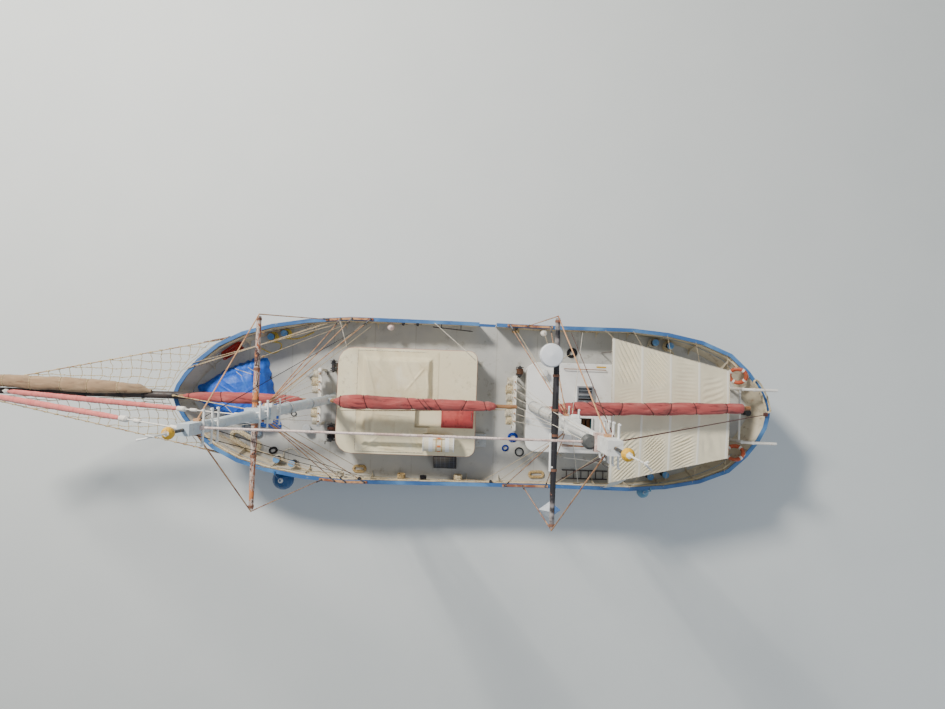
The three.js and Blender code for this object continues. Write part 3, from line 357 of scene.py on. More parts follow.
def on_rail(along, across, up):
    """A place on the stern rail: along it from the middle to starboard, inboard and up."""
    angle = along / STERN_R
    reach = STERN_R - across
    return STERN_X - reach * cos(angle), STERN_Y - reach * sin(angle), 2.58 + 0.012 * angle + up


stern_run = [on_rail(0.8 + a, 0.012 + b, c) for a, b,
             c in wound(0.64, 0.102, 0.026, [(1.5, 0), (1.5, 0.1), (1.5, 0), (1.5, 0.1)], 5)]
rope("stern_rail_line", stern_run, 0.026, beige_rope)

# The studio: a plain pale floor at the waterline with a hole's worth of hull below it, and soft
# lamps, the strongest of them from the bow's starboard side as the sun stood.
def spread(columns, rows, place):
    """A grid of cells with each corner where place puts it, from 0 to 1 along both its ways."""
    shape = bmesh.new()
    bmesh.ops.create_grid(shape, x_segments=columns, y_segments=rows, size=0.5)
    for vert in shape.verts:
        vert.co = place(vert.co.x + 0.5, vert.co.y + 0.5)
    return shape


def finished(name, shape, finish, body="hull", crease=35):
    """Makes a piece of a bmesh: its place is in its mesh, and it rides on a body."""
    mesh = bpy.data.meshes.new(name)
    bmesh.ops.remove_doubles(shape, verts=shape.verts, dist=1e-5)
    bmesh.ops.recalc_face_normals(shape, faces=shape.faces)
    shape.to_mesh(mesh)
    shape.free()
    mesh.shade_smooth()
    mesh.set_sharp_from_angle(angle=radians(crease))
    mesh.materials.append(finish.material)
    piece = bpy.data.objects.new(name, mesh)
    bpy.context.scene.collection.objects.link(piece)
    if body:
        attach(piece, body)
    return piece


floor_finish = Finish("studio_floor", (226, 230, 228), 0.75)
floor_finish.blots((212, 218, 218), 0.3, 0.8, 0.25, 3.0)
water_level = bmesh.new()
bmesh.ops.create_grid(water_level, x_segments=1, y_segments=1, size=400)
floor = finished("studio_floor", water_level, floor_finish, body=None)

LAMPS = [
    # name, where it stands, watts, size, tint
    ("sun_side_lamp", (24, -28, 33), 30000, 7, (1.0, 0.955, 0.88)),
    ("sky_lamp", (-6, 4, 44), 3200, 34, (0.86, 0.92, 1.0)),
    ("stern_lamp", (-30, 18, 22), 2200, 16, (0.86, 0.92, 1.0)),
]
for name, where, watts, size, tint in LAMPS:
    light = bpy.data.lights.new(name, "AREA")
    light.energy = watts
    light.size = size
    light.color = tint
    lamp = bpy.data.objects.new(name, light)
    lamp.location = where
    lamp.rotation_euler = (Vector((0, 0, 1.5)) - Vector(where)).to_track_quat("-Z", "Y").to_euler()
    bpy.context.scene.collection.objects.link(lamp)

world = bpy.data.worlds.new("studio_air")
world.use_nodes = True
world.node_tree.nodes["Background"].inputs["Color"].default_value = rgb(214, 224, 236)
world.node_tree.nodes["Background"].inputs["Strength"].default_value = 0.3
bpy.context.scene.world = world

# The hull: welded steel plate, blue over the waterline, with a white boot-top line, dark red
# underwater paint, rust that runs down from the rubbing strakes, and a bronze propeller.
def dress(nodes, finish):
    """Gives solids of the model their surface."""
    for node in nodes:
        for place in cad[node].material_slots:
            place.material = finish.material


def painted(name, colour, faded, dirt, roughness=0.5, size=1.0, dirty=0.55, **sockets):
    """Brushed marine paint: bleached patches, grime, and a slightly uneven coat."""
    finish = Finish(name, colour, roughness, **sockets)
    finish.blots(faded, 0.42, 0.7, 0.75, 1.3 * size)
    grime = finish.cloud(0.35 * size, detail=9, rough=0.72)
    finish.tint(finish.from_to(grime, dirty, dirty + 0.14, end=0.8), dirt)
    finish.dull(0.5 * size, roughness - 0.1, roughness + 0.18)
    finish.lumps(0.0015, 0.05, detail=3)
    return finish


def rusty(finish, stretch=(3.2, 3.2, 0.5), low=0.6, high=0.72, colour=(152, 84, 44)):
    """Rust that has run down, or along for other stretches."""
    streaks = finish.cloud(0.9, detail=8, rough=0.65, stretch=stretch)
    finish.tint(finish.from_to(streaks, low, high, end=0.85), colour)


def above(finish, height):
    """1 over a height above the water, 0 below it."""
    z = finish.metres(2)
    return finish.from_to(z, height - 0.004, height + 0.004)


hull_finish = painted("hull_steel", (96, 40, 34), (112, 54, 44), (70, 62, 44), 0.62)
hull_finish.blots((92, 96, 62), 0.5, 0.62, 0.5, 0.25, detail=6)
hull_finish.tint(above(hull_finish, 0.1), (226, 224, 214))
hull_finish.tint(above(hull_finish, 0.2), (52, 98, 156))
topsides = above(hull_finish, 0.2)
bleached = hull_finish.from_to(hull_finish.cloud(1.4, detail=9, rough=0.7, stretch=(0.3, 1, 0.9)), 0.42, 0.74,
                               end=0.45)
hull_finish.tint(hull_finish.times(topsides, bleached), (76, 124, 176))
rusty(hull_finish)
plates = hull_finish.from_to(hull_finish.stripes(1.9), 0.985, 1.0)
hull_finish.relief(plates, -0.003)
dress(["hull"], hull_finish)

underwater = painted("rudder_steel", (96, 40, 34), (112, 58, 46), (86, 92, 60), 0.65)
dress(["rudder"], underwater)
bronze = painted("propeller_bronze", (176, 128, 66), (150, 116, 70), (84, 112, 84), 0.38,
                 size=0.3, Metallic=0.85)
dress(["propeller"], bronze)

# The deck: steel plate under grey non-slip paint, worn lighter along the ways that feet take, with
# weld lines, rust spots round the fittings and damp dark patches. Bollards stand on it in pairs.
deck_finish = painted("deck_paint", (186, 186, 182), (204, 202, 194), (150, 146, 136), 0.8)
deck_finish.blots((142, 122, 98), 0.62, 0.72, 0.5, 0.09, detail=9, rough=0.8)
deck_finish.blots((168, 170, 174), 0.5, 0.68, 0.6, 2.4, detail=3)
seams = deck_finish.from_to(deck_finish.stripes(1.5), 0.997, 1.0, end=0.3)
deck_finish.tint(deck_finish.times(seams, deck_finish.from_to(deck_finish.cloud(0.5), 0.3, 0.6)), (130, 122, 110))
deck_finish.relief(seams, 0.002)
deck_finish.lumps(0.0012, 0.008, detail=2)
dress(["deck"], deck_finish)


def turned(shape, profile, foot, along=(0, 0, 1), steps=24):
    """Spins an outline of (radius, height) about a line from foot."""
    turn = Vector((0, 0, 1)).rotation_difference(Vector(along)).to_matrix().to_4x4()
    turn.translation = Vector(foot)
    last = None
    edges = []
    for radius, height in profile:
        vert = shape.verts.new(turn @ Vector((radius, 0, height)))
        if last:
            edges.append(shape.edges.new((last, vert)))
        last = vert
    bmesh.ops.spin(shape, geom=edges, cent=turn.translation, axis=Vector(along).normalized(),
                   dvec=(0, 0, 0), angle=tau, steps=steps, use_merge=True)


def band(shape, inner, outer, half, flat, middle, along=(0, 0, 1), steps=24):
    """A flat ring about a line: half its width where it starts, and where it stands out."""
    turned(shape, [(inner, -half), (outer, -flat), (outer, flat), (inner, half)], middle, along, steps)


bollard_black = painted("bollard_black", (44, 48, 56), (70, 74, 80), (96, 62, 44), 0.6, size=0.3)
bollard_blue = painted("bollard_blue", (84, 140, 194), (120, 170, 210), (190, 184, 168), 0.55, size=0.3)
BOLLARDS = [(7.42, -2.15), (6.95, -2.29), (7.05, 2.25), (6.5, 2.37), (-6.5, -2.44), (-7.05, -2.34),
            (-6.45, 2.44), (-7.00, 2.35)]
sleeves, caps = bmesh.new(), bmesh.new()
for x, y in BOLLARDS:
    foot = top_of(deck_plate, x + 0.3, y * 0.8, 1.9)
    top = top_of(deck_plate, x, y)
    turned(sleeves, [(0.098, foot + 0.07), (0.098, top - 0.062)], (x, y, 0))
    turned(caps, [(0.0995, top - 0.06), (0.122, top - 0.058), (0.124, top - 0.012), (0.112, top + 0.004),
                  (0.0, top + 0.007)], (x, y, 0))
finished("bollard_sleeves", sleeves, bollard_black)
finished("bollard_caps", caps, bollard_blue)


def rod(shape, start, end, radius, end_radius=None, sides=12):
    """A round bar between two points."""
    start, end = Vector(start), Vector(end)
    turn = (end - start).to_track_quat("Z", "Y").to_matrix().to_4x4()
    turn.translation = (start + end) / 2
    bmesh.ops.create_cone(shape, cap_ends=True, segments=sides, radius1=radius,
                          radius2=radius if end_radius is None else end_radius,
                          depth=(end - start).length, matrix=turn)


def block(shape, middle, size, turn=0.0, edge=0.006, tilt=None):
    """A box with eased edges, turned about an upright line or by a matrix."""
    spin = tilt or Matrix.Rotation(turn, 3, "Z")
    place = Matrix.Translation(middle) @ spin.to_4x4() @ Matrix.Diagonal((*size, 1))
    made = bmesh.ops.create_cube(shape, size=1, matrix=place)["verts"]
    if edge:
        edges = list({e for v in made for e in v.link_edges})
        bmesh.ops.bevel(shape, geom=edges, offset=edge, affect="EDGES", segments=2, profile=0.5, material=-1)


# Vent cowls, the grey locker's lid and small deck fittings
fitting_grey = painted("fitting_grey", (172, 176, 178), (196, 198, 196), (128, 108, 84), 0.55, size=0.3)
dark_rubber = painted("dark_rubber", (38, 40, 44), (58, 60, 62), (84, 78, 70), 0.75, size=0.3)
fittings = bmesh.new()
block(fittings, (-0.23, 1.325, 1.735), (0.43, 0.48, 0.03))
for y in (1.2, 1.45):
    rod(fittings, (-0.42, y, 1.752), (-0.36, y, 1.752), 0.012)
for x, y, r in ((6.05, -0.9, 0.16), (6.08, 1.15, 0.17)):
    turned(fittings, [(r * 1.01, 1.5), (r * 1.04, 1.515), (r * 0.84, 1.585), (0, 1.6)], (x, y, 0))
finished("deck_fitting_lids", fittings, fitting_grey)
rings = bmesh.new()
for x, y, r in ((7.62, -0.66, 0.15), (6.62, 0.62, 0.1), (-1.67, 1.7, 0.17), (8.6, 0.52, 0.08)):
    z = top_of(deck_plate, x, y) + 0.002
    turned(rings, [(r * 0.7, z), (r, z), (r, z + 0.03), (r * 0.85, z + 0.045), (r * 0.7, z + 0.01)], (x, y, 0))
finished("deck_rings", rings, dark_rubber)

# The bulwarks: blue outside, cream inside, stiffened by brackets and a stringer of painted wood,
# under a broad blue capping whose paint is chafed to pale patches by ropes and feet.
bulwark_finish = painted("bulwark_steel", (214, 202, 176), (228, 220, 200), (150, 128, 96), 0.62)
rusty(bulwark_finish, stretch=(2.4, 2.4, 0.7), low=0.58, high=0.74, colour=(160, 112, 72))
outward = bulwark_finish.node("VectorMath", {
    0: bulwark_finish.node("TexCoord", {}).outputs["Normal"], 1: bulwark_finish.place(stretch=(0.05, 1, 0)),
}, operation="DOT_PRODUCT").outputs["Value"]
outside = bulwark_finish.from_to(outward, 0.0, 0.02)
bulwark_finish.tint(outside, (54, 100, 158))
bulwark_finish.tint(bulwark_finish.times(outside, bulwark_finish.from_to(bulwark_finish.cloud(0.8), 0.5, 0.7,
                                                                         end=0.7)),
                    (96, 148, 198))
rusty(bulwark_finish, low=0.66, high=0.78)
BULWARKS = ["bulwark_port", "bulwark_starboard_fore", "bulwark_starboard_aft"]
dress(BULWARKS, bulwark_finish)

rail_finish = painted("rail_paint", (58, 104, 162), (104, 156, 204), (176, 182, 176), 0.45, dirty=0.6)
rail_finish.blots((198, 190, 164), 0.66, 0.7, 1, 0.12, detail=8, rough=0.8)
rail_finish.blots((36, 70, 128), 0.58, 0.72, 0.6, 0.7, stretch=(0.25, 1, 1))
dress(["cap_rail_port", "cap_rail_starboard_fore", "cap_rail_starboard_aft"], rail_finish)

bulwark_faces = {node: mesh_of(node) for node in BULWARKS}


def inner_face(x, z, side):
    """Distance from the centreline to the bulwark's inner face."""
    for tree in bulwark_faces.values():
        hit = tree.ray_cast(Vector((x, 0, z)), Vector((0, side, 0)))[0]
        if hit:
            return hit.y
    return None


cream_wood = painted("stringer_paint", (226, 208, 166), (238, 226, 196), (160, 132, 92), 0.55, size=0.4)
RAIL_HEIGHTS = [(-9.4, 2.5), (-8, 2.42), (-6, 2.3), (-4, 2.23), (0, 2.16), (4, 2.28), (6, 2.42), (8, 2.63),
                (9.4, 2.82)]


def rail_height(x):
    for (xa, za), (xb, zb) in zip(RAIL_HEIGHTS, RAIL_HEIGHTS[1:]):
        if x <= xb:
            return za + (zb - za) * max(0, (x - xa) / (xb - xa))
    return RAIL_HEIGHTS[-1][1]


STRINGER_DROP, PIPE_DROP = 0.17, 0.5
stringers = {STRINGER_DROP: [], PIPE_DROP: []}
for side, x0, x1 in ((1, -9.3, 9.5), (-1, -9.3, -0.75), (-1, 0.02, 9.5)):
    for drop, off in ((STRINGER_DROP, 0.035), (PIPE_DROP, 0.02)):
        run = []
        for step in range(int((x1 - x0) / 0.2) + 1):
            x = min(x1, x0 + step * 0.2)
            y = inner_face(x, rail_height(x) - drop, side)
            if y:
                run.append((x, y - side * off, rail_height(x) - drop))
        stringers[drop].append(run)
curve("bulwark_stringers", stringers[STRINGER_DROP], 0.034, cream_wood)
curve("bulwark_pipes", stringers[PIPE_DROP], 0.018, fitting_grey)

brackets = bmesh.new()
BRACKET_STEP = 1.15
for number in range(17):
    x = -9.0 + number * BRACKET_STEP
    for side in (1, -1):
        if side < 0 and -1.0 < x < 0.2:
            continue
        z0 = top_of(deck_plate, x, side * 0.6) + 0.003
        z1 = rail_height(x) - 0.06
        foot, head = inner_face(x, z0 + 0.05, side), inner_face(x, z1, side)
        if foot and head:
            ends = []
            for offset in (-0.006, 0.006):
                corners = [(foot - side * 0.24, z0), (foot - side * 0.02, z0), (head - side * 0.008, z1),
                           (head - side * 0.06, z1), (foot - side * 0.1, z0 + 0.16)]
                ends.append([brackets.verts.new((x + offset, y, z)) for y, z in corners])
            for near, far in enumerate((1, 2, 3, 4, 0)):
                brackets.faces.new((ends[0][near], ends[0][far], ends[1][far], ends[1][near]))
            brackets.faces.new(ends[0])
            brackets.faces.new(ends[1])
bulwark_plain = painted("bracket_paint", (214, 202, 176), (228, 220, 200), (150, 120, 88), 0.62, size=0.4)
finished("bulwark_brackets", brackets, bulwark_plain)

# The masts: steel poles, the foremast in pale blue-grey and the main mast in white, with a band
# at the hounds, a square head, short steps across, a lamp, and a yellow ball with a white vane on top.
FORE_X, MAIN_X = 5.15, -2.02
foremast_finish = painted("foremast_paint", (190, 203, 212), (222, 226, 224), (150, 150, 146), 0.4, size=0.5)
rusty(foremast_finish, stretch=(4, 4, 0.4), low=0.66, high=0.76, colour=(160, 120, 84))
dress(["foremast"], foremast_finish)
mainmast_finish = painted("mainmast_paint", (226, 226, 222), (242, 240, 234), (170, 166, 156), 0.42, size=0.5)
rusty(mainmast_finish, stretch=(4, 4, 0.4), low=0.68, high=0.78, colour=(170, 140, 104))
dress(["mainmast"], mainmast_finish)

for node, low, high in (("fore_truck", 14.93, 15.14), ("main_truck", 15.77, 15.99)):
    truck_finish = Finish(node + "_paint", (30, 30, 34), 0.5)
    truck_finish.tint(above(truck_finish, low), (228, 176, 44))
    truck_finish.tint(above(truck_finish, high), (236, 236, 232))
    truck_finish.blots((176, 128, 40), 0.56, 0.64, 0.7, 0.09, detail=8)
    truck_finish.dull(0.1, 0.3, 0.6)
    dress([node], truck_finish)

fresh_white = painted("white_fittings", (238, 238, 234), (248, 247, 242), (186, 180, 168), 0.45, size=0.3)
steps = bmesh.new()
for x, reach, heights in (
        (FORE_X, 0.17, (9.3, 10.3, 10.9, 13.25, 13.55, 13.95)),
        (MAIN_X, 0.22, (9.2, 10.6, 13.3, 13.65, 14.0, 14.35, 14.75))):
    for z in heights:
        off = 0.19 if z < 12 else 0.13
        rod(steps, (x - off, -reach - 0.14, z), (x - off, reach + 0.14, z), 0.021, sides=8)
        for side in (1, -1):
            rod(steps, (x - off, side * (reach + 0.14), z - 0.01), (x - off, side * (reach + 0.14), z + 0.07), 0.021,
                sides=8)
            rod(steps, (x - off, side * 0.07, z), (x - off * 0.5, side * 0.06, z), 0.018, sides=8)
    for z in (heights[0] + 0.2, heights[-1] - 0.2):
        block(steps, (x, 0, z), (0.26, 0.09, 0.05))
for y in (0.19, -0.19):
    block(steps, (MAIN_X - 0.16, y, 10.35), (0.2, 0.1, 0.16), edge=0.02)
    block(steps, (FORE_X - 0.14, y, 10.05), (0.18, 0.09, 0.14), edge=0.02)
finished("mast_steps", steps, fresh_white)

lamps = bmesh.new()
turned(lamps, [(0, 13.98), (0.1, 14.0), (0.13, 14.05), (0.13, 14.2), (0.09, 14.24), (0, 14.25)],
       (MAIN_X + 0.24, 0.0, 0))
turned(lamps, [(0, 13.5), (0.05, 13.5), (0.06, 13.6), (0.03, 13.66), (0, 13.67)], (FORE_X + 0.2, 0.0, 0))
rod(lamps, (MAIN_X + 0.02, 0, 14.02), (MAIN_X + 0.24, 0, 14.02), 0.02)
rod(lamps, (FORE_X + 0.02, 0, 13.52), (FORE_X + 0.2, 0, 13.52), 0.015)
lamp_grey = painted("lamp_grey", (78, 80, 80), (104, 104, 100), (52, 48, 44), 0.5, size=0.2)
finished("mast_lamps", lamps, lamp_grey)

vanes = bmesh.new()
for x, z, back, ahead in ((FORE_X, 15.62, 0.08, 0.22), (MAIN_X, 16.8, -0.1, -0.05)):
    rod(vanes, (x + back, 0.1 if back < 0 else -0.02, z + 0.02), (x - ahead * 0.2, 0.0, z), 0.016, 0.01, sides=8)
    rod(vanes, (x - ahead * 0.2, 0.0, z), (x + ahead, -0.02 if back < 0 else 0.06, z), 0.01, 0.018, sides=8)
finished("wind_vanes", vanes, fresh_white)
collars = bmesh.new()
for x, r, heights in ((FORE_X, 0.158, (2.6, 5.4, 7.9)), (MAIN_X, 0.172, (2.7, 5.8, 8.2))):
    for z in heights:
        band(collars, r, r + 0.014, 0.05, 0.045, (x, 0, z))
finished("mast_bands", collars, fitting_grey)

# The spreaders: round timbers across the masts. The fore one has shed most of its white paint down
# to orange primer and dark wood, the main one is tarred black with brown bands and grey ends.
fore_spar = Finish("peeling_spar", (170, 100, 66), 0.8)
flakes = fore_spar.cloud(0.2, detail=10, rough=0.78, bend=0.6, stretch=(1.6, 0.55, 1.6))
fore_spar.tint(fore_spar.from_to(flakes, 0.46, 0.49), (206, 190, 178))
fore_spar.tint(fore_spar.from_to(flakes, 0.535, 0.55), (84, 58, 56))
fore_spar.blots((214, 132, 74), 0.56, 0.6, 1, 0.5, detail=8, stretch=(1, 0.6, 1))
fore_spar.blots((46, 34, 40), 0.55, 0.59, 1, 0.13, detail=9, rough=0.8)
fore_spar.relief(flakes, 0.006)
dress(["fore_spreader"], fore_spar)

main_spar = Finish("tarred_spar", (36, 34, 38), 0.55)
main_spar.blots((74, 70, 76), 0.52, 0.62, 0.8, 0.3, detail=9, rough=0.75)
main_spar.blots((150, 104, 84), 0.64, 0.67, 1, 0.16, detail=8)
ends = main_spar.node("Math", {0: main_spar.metres(1)},
                      operation="ABSOLUTE").outputs[0]
main_spar.tint(main_spar.times(main_spar.from_to(ends, 1.7, 2.1),
                               main_spar.from_to(main_spar.cloud(0.25, detail=9), 0.4, 0.6)),
               (168, 160, 158))
main_spar.lumps(0.005, 0.12, detail=8, stretch=(1, 0.3, 1))
dress(["main_spreader"], main_spar)

SPREADERS = [("fore", 5.395, 9.85, 0.08, 2.3), ("main", -1.76, 9.95, 0.085, 2.5)]
bands = bmesh.new()
for name, x, z, r, half in SPREADERS:
    for side in (1, -1):
        for share in (0.12, 0.45, 0.97):
            y = side * half * share
            size = r - (r / 3) * share
            band(bands, size + 0.002, size + 0.012, 0.03, 0.028, (x, y, z), (0, 1, 0), 16)
iron = painted("rusted_iron", (124, 84, 66), (150, 108, 84), (58, 44, 42), 0.7, size=0.2)
finished("spreader_bands", bands, iron)
white_rod = bmesh.new()
rod(white_rod, (-1.76 + 0.1, 0.25, 9.99), (-1.76 + 0.09, 1.15, 9.99), 0.028)
for y in (0.4, 1.05):
    block(white_rod, (-1.71, y, 9.99), (0.1, 0.04, 0.05))
finished("spreader_pole", white_rod, fresh_white)

# Radome and radar reflector: a white plastic drum and two crossed, folded metal plates, hung on
# the main spreader's two arms.
dress(["radome"], painted("radome_plastic", (226, 229, 234), (240, 241, 242), (204, 204, 202), 0.35, size=0.6,
                        dirty=0.66))
reflector_finish = painted("reflector_foil", (206, 212, 220), (226, 230, 234), (160, 160, 160), 0.3,
                           size=0.3, Metallic=0.35)
# The aft half of the reflector is tinted blue: painted shade on the side turned away from the light.
aft_half_shade_x = reflector_finish.metres(0)
reflector_finish.tint(reflector_finish.from_to(aft_half_shade_x, -1.755, -1.765), (96, 142, 204))
dress(["radar_reflector"], reflector_finish)
radome_low, radome_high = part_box("radome")
seam = bmesh.new()
middle = (radome_low + radome_high) / 2
turned(seam, [(0.283, 0.1), (0.289, 0.105), (0.289, 0.125), (0.283, 0.13)],
       (middle.x, middle.y, radome_low.z + 0.02), steps=48)
finished("radome_seam", seam, fitting_grey)

# The standing rigging: wire shrouds and stays served with tarred twine that has bleached to tan,
# each shroud ending on the rail in a steel screw with an eye at either end.
def served(name, colour, worn):
    """Wire wrapped in twine: short dark and pale lengths."""
    finish = Finish(name, colour, 0.8, Specular_IOR_Level=0.25)
    finish.blots(worn, 0.48, 0.6, 1, 0.5, detail=8, rough=0.7)
    finish.blots((60, 48, 44), 0.5, 0.7, 0.4, 0.03, detail=2)
    finish.lumps(0.004, 0.02)
    return finish


shroud_finish = served("served_wire", (206, 158, 116), (150, 96, 72))
dress(["fore_shrouds_port", "fore_shrouds_starboard", "main_shrouds_port", "main_shrouds_starboard"],
      shroud_finish)
dress(["bowsprit_stays"], served("guy_wire", (222, 196, 158), (176, 132, 98)))
dress(["forestay"], served("forestay_wire", (218, 196, 150), (160, 122, 84)))
pale_wire = served("pale_wire", (236, 216, 208), (206, 176, 166))
along_ship = pale_wire.metres(0)
pale_wire.tint(pale_wire.from_to(along_ship, -2.2, -2.6), (104, 66, 60))
dress(["masthead_stays"], pale_wire)

steel = Finish("galvanised_steel", (126, 128, 132), 0.45, Metallic=0.7)
steel.blots((150, 96, 62), 0.5, 0.62, 0.8, 0.08, detail=8)
steel.lumps(0.001, 0.02)
black_iron = painted("black_iron", (34, 34, 38), (56, 56, 60), (110, 70, 50), 0.6, size=0.15)


def towards(start, end, distance):
    """The point at some distance from start on the way to end."""
    start, end = Vector(start), Vector(end)
    return start + (end - start).normalized() * distance


# Feet of the shrouds on the rail: mast's x, its hounds, half thickness there, feet along the ship,
# the topmast shroud's foot and the spreader's end that it passes
SHROUDS = [
    (5.15, 9.81, 0.187, (4.85, 4.46, 3.8), (5.29, 5.395, 2.35, 9.85)),
    (-2.02, 9.91, 0.197, (-1.15, -2.59), (-1.78, -1.76, 2.55, 9.95)),
]
screws, eyes = bmesh.new(), bmesh.new()
rail_trees = {half: mesh_of("cap_rail_" + half) for half in ("port", "starboard_fore", "starboard_aft")}


def rail_at(x, side):
    """Middle of the capping at x: its distance from the centreline and its top."""
    tree = rail_trees["port" if side > 0 else "starboard_fore" if x > -0.3 else "starboard_aft"]
    hits = [y for y in (side * (1.9 + 0.01 * n) for n in range(110))
            if tree.ray_cast(Vector((x, y, 30)), Vector((0, 0, -1)))[0]]
    y = sum(hits) / len(hits)
    return y, top_of(tree, x, y)


for mast_x, hounds_z, off, lower, (top_x, arm_x, arm_y, arm_z) in SHROUDS:
    for side in (1, -1):
        for x in lower + (top_x,):
            y, z = rail_at(x, side)
            foot = (x, y + side * 0.02, z + 0.035)
            head = (mast_x, side * off, hounds_z) if x in lower else (arm_x, side * arm_y, arm_z)
            for shape, near, far, *sizes in ((screws, 0.1, 0.46, 0.03), (screws, 0.46, 0.62, 0.02),
                                             (eyes, 0.02, 0.11, 0.034, 0.022), (eyes, 0.62, 0.8, 0.03, 0.019)):
                rod(shape, towards(foot, head, near), towards(foot, head, far), *sizes, sides=8)
finished("shroud_screws", screws, steel)
finished("shroud_eyes", eyes, black_iron)

# The running rigging: halyards that come down from both masts to the fife rails, the sheets of
# the jibs, and lines made fast at the rail. Thin ropes, pulled tight.
line_white = rope_finish("line_white", (238, 232, 220), (200, 190, 170))
line_beige = rope_finish("line_beige", (222, 206, 172), (176, 150, 116))
line_brown = rope_finish("line_brown", (116, 74, 62), (70, 44, 42))
line_dark = rope_finish("line_dark", (58, 52, 56), (30, 26, 30))


def hung(start, end, slack=0.0, steps=10):
    """A line between two points with a little sag, none at all for slack 0."""
    start, end = Vector(start), Vector(end)
    if not slack:
        return [tuple(start), tuple(end)]
    return [tuple(start.lerp(end, n / steps) - Vector((0, 0, slack * 4 * (n / steps) * (1 - n / steps))))
            for n in range(steps + 1)]


# name, finish, radius, runs of (from, to, and a sag where there is one)
LINES = [
    ("fore_halyards", line_white, 0.009, [((x, y, z), (5.53, pin, 2.2)) for x, y, z, pin in (
        (5.31, -0.16, 9.6, -0.88), (5.31, -0.1, 9.7, -0.6), (5.31, 0.05, 13.5, -0.32),
        (5.31, 0.1, 9.7, 0.24), (5.29, 0.12, 13.6, 0.52), (5.31, 0.16, 9.6, 0.8))]),
    ("fore_side_lines", line_beige, 0.009, [
        ((5.1, -0.2, 9.7), (4.15, -2.66, 2.18)), ((5.1, -0.18, 9.6), (3.8, -2.64, 2.17)),
        ((5.05, 0.2, 9.7), (4.75, 2.66, 2.22)), ((5.05, 0.18, 9.6), (3.5, 2.68, 2.16)),
        ((5.38, -1.3, 9.76), (4.7, -2.66, 2.22)), ((5.38, 1.3, 9.76), (3.2, 2.7, 2.15))]),
    ("fore_dark_lines", line_dark, 0.008, [
        ((5.1, 0.12, 14.1), (4.2, 2.7, 2.22)), ((5.12, 0.1, 13.2), (3.85, 2.71, 2.18)),
        ((5.36, -1.9, 9.78), (5.9, -2.62, 2.33)), ((5.1, -0.14, 13.9), (3.95, -2.7, 2.19))]),
    ("main_halyards", line_white, 0.009, [((-1.86, y, z), (-1.4, pin, 2.2)) for y, z, pin in (
        (-0.2, 9.7, -0.84), (-0.12, 13.6, -0.56), (-0.06, 9.8, -0.28),
        (0.06, 14.2, 0.00), (0.12, 9.7, 0.28), (0.2, 9.6, 0.56))]),
    ("main_side_lines", line_beige, 0.009, [
        ((-2.1, -0.2, 9.8), (-1.39, -2.68, 2.12)), ((-2.1, -0.22, 9.7), (-2.38, -2.66, 2.14)),
        ((-2.1, 0.2, 9.8), (-0.95, 2.7, 2.12)), ((-2.1, 0.22, 9.7), (-0.35, 2.72, 2.12)),
        ((-1.78, -1.45, 9.86), (-3.53, -1.96, 1.55)), ((-2.2, 0.14, 13.9), (-3.1, 2.66, 2.16))]),
    ("jib_sheets", line_beige, 0.01, [
        ((x_from, side * y_from, z_from), (x_to, side * y_to, z_to), sag) for side in (1, -1)
        for x_from, y_from, z_from, x_to, y_to, z_to, sag in (
            (10.02, 0.88, 2.93, 5.33, 2.66, 2.4, 0.05), (9.93, 0.94, 2.91, 5.52, 2.62, 2.41, 0.09),
            (9.8, 1.1, 2.9, 4.9, 2.68, 2.37, 0.06))]),
    ("main_brown_lines", line_brown, 0.01, [
        ((-2.1, 0.05, 14.8), (-2.95, 2.68, 2.16)), ((-2.12, -0.1, 14.6), (-3.35, -2.66, 2.18))]),
    ("main_backstays", line_white, 0.011, [
        ((-2.18, -0.24, 9.9), (-3.75, -2.68, 2.2)), ((-2.18, 0.24, 9.9), (-3.75, 2.68, 2.2))]),
]
for name, finish, radius, runs in LINES:
    curve(name, [hung(*run) for run in runs], radius, finish, sides=1)

blocks_wood = painted("block_wood", (176, 132, 88), (204, 168, 124), (90, 60, 44), 0.55, size=0.12)
line_blocks = bmesh.new()
for *_, runs in LINES:
    for start, end, *_ in runs[::2]:
        ball = bmesh.ops.create_uvsphere(line_blocks, u_segments=10, v_segments=6, radius=1)["verts"]
        place = Matrix.Translation(towards(start, end, 0.25)) @ Matrix.Diagonal((0.035, 0.022, 0.07, 1))
        bmesh.ops.transform(line_blocks, verts=ball, matrix=place)
finished("line_blocks", line_blocks, blocks_wood)

# The bowsprit: a tarred round timber on the stem, with nets of knotted rope slung on both sides
# between it and the wire guys, and rusty screws where the guys come back to the bow.
sprit_finish = painted("bowsprit_timber", (50, 44, 44), (84, 72, 66), (128, 92, 66), 0.55, size=0.5)
sprit_finish.lumps(0.006, 0.1, detail=6, stretch=(0.2, 1, 1))
dress(["bowsprit"], sprit_finish)


def sprit_z(x):
    return 3.15 + (x - 10.32) * 0.158


GUY_START, GUY_END = (16.35, 0.15, sprit_z(16.35)), (8.38, 2.16, 2.05)


def guy_at(x):
    share = (GUY_START[0] - x) / (GUY_START[0] - GUY_END[0])
    return Vector(GUY_START).lerp(Vector(GUY_END), share)


BOW_OUTLINE = [(10.45, 0.0), (10.32, 0.42), (10.12, 0.78), (9.9, 1.05), (9.5, 1.46), (9.1, 1.82), (8.7, 2.07)]


def bow_half(x):
    """Half width of the bow at the rail with room to spare, none ahead of the stem."""
    if x >= BOW_OUTLINE[0][0]:
        return 0.0
    for (xa, ya), (xb, yb) in zip(BOW_OUTLINE, BOW_OUTLINE[1:]):
        if x >= xb:
            return ya + (yb - ya) * (xa - x) / (xa - xb)
    return BOW_OUTLINE[-1][1]


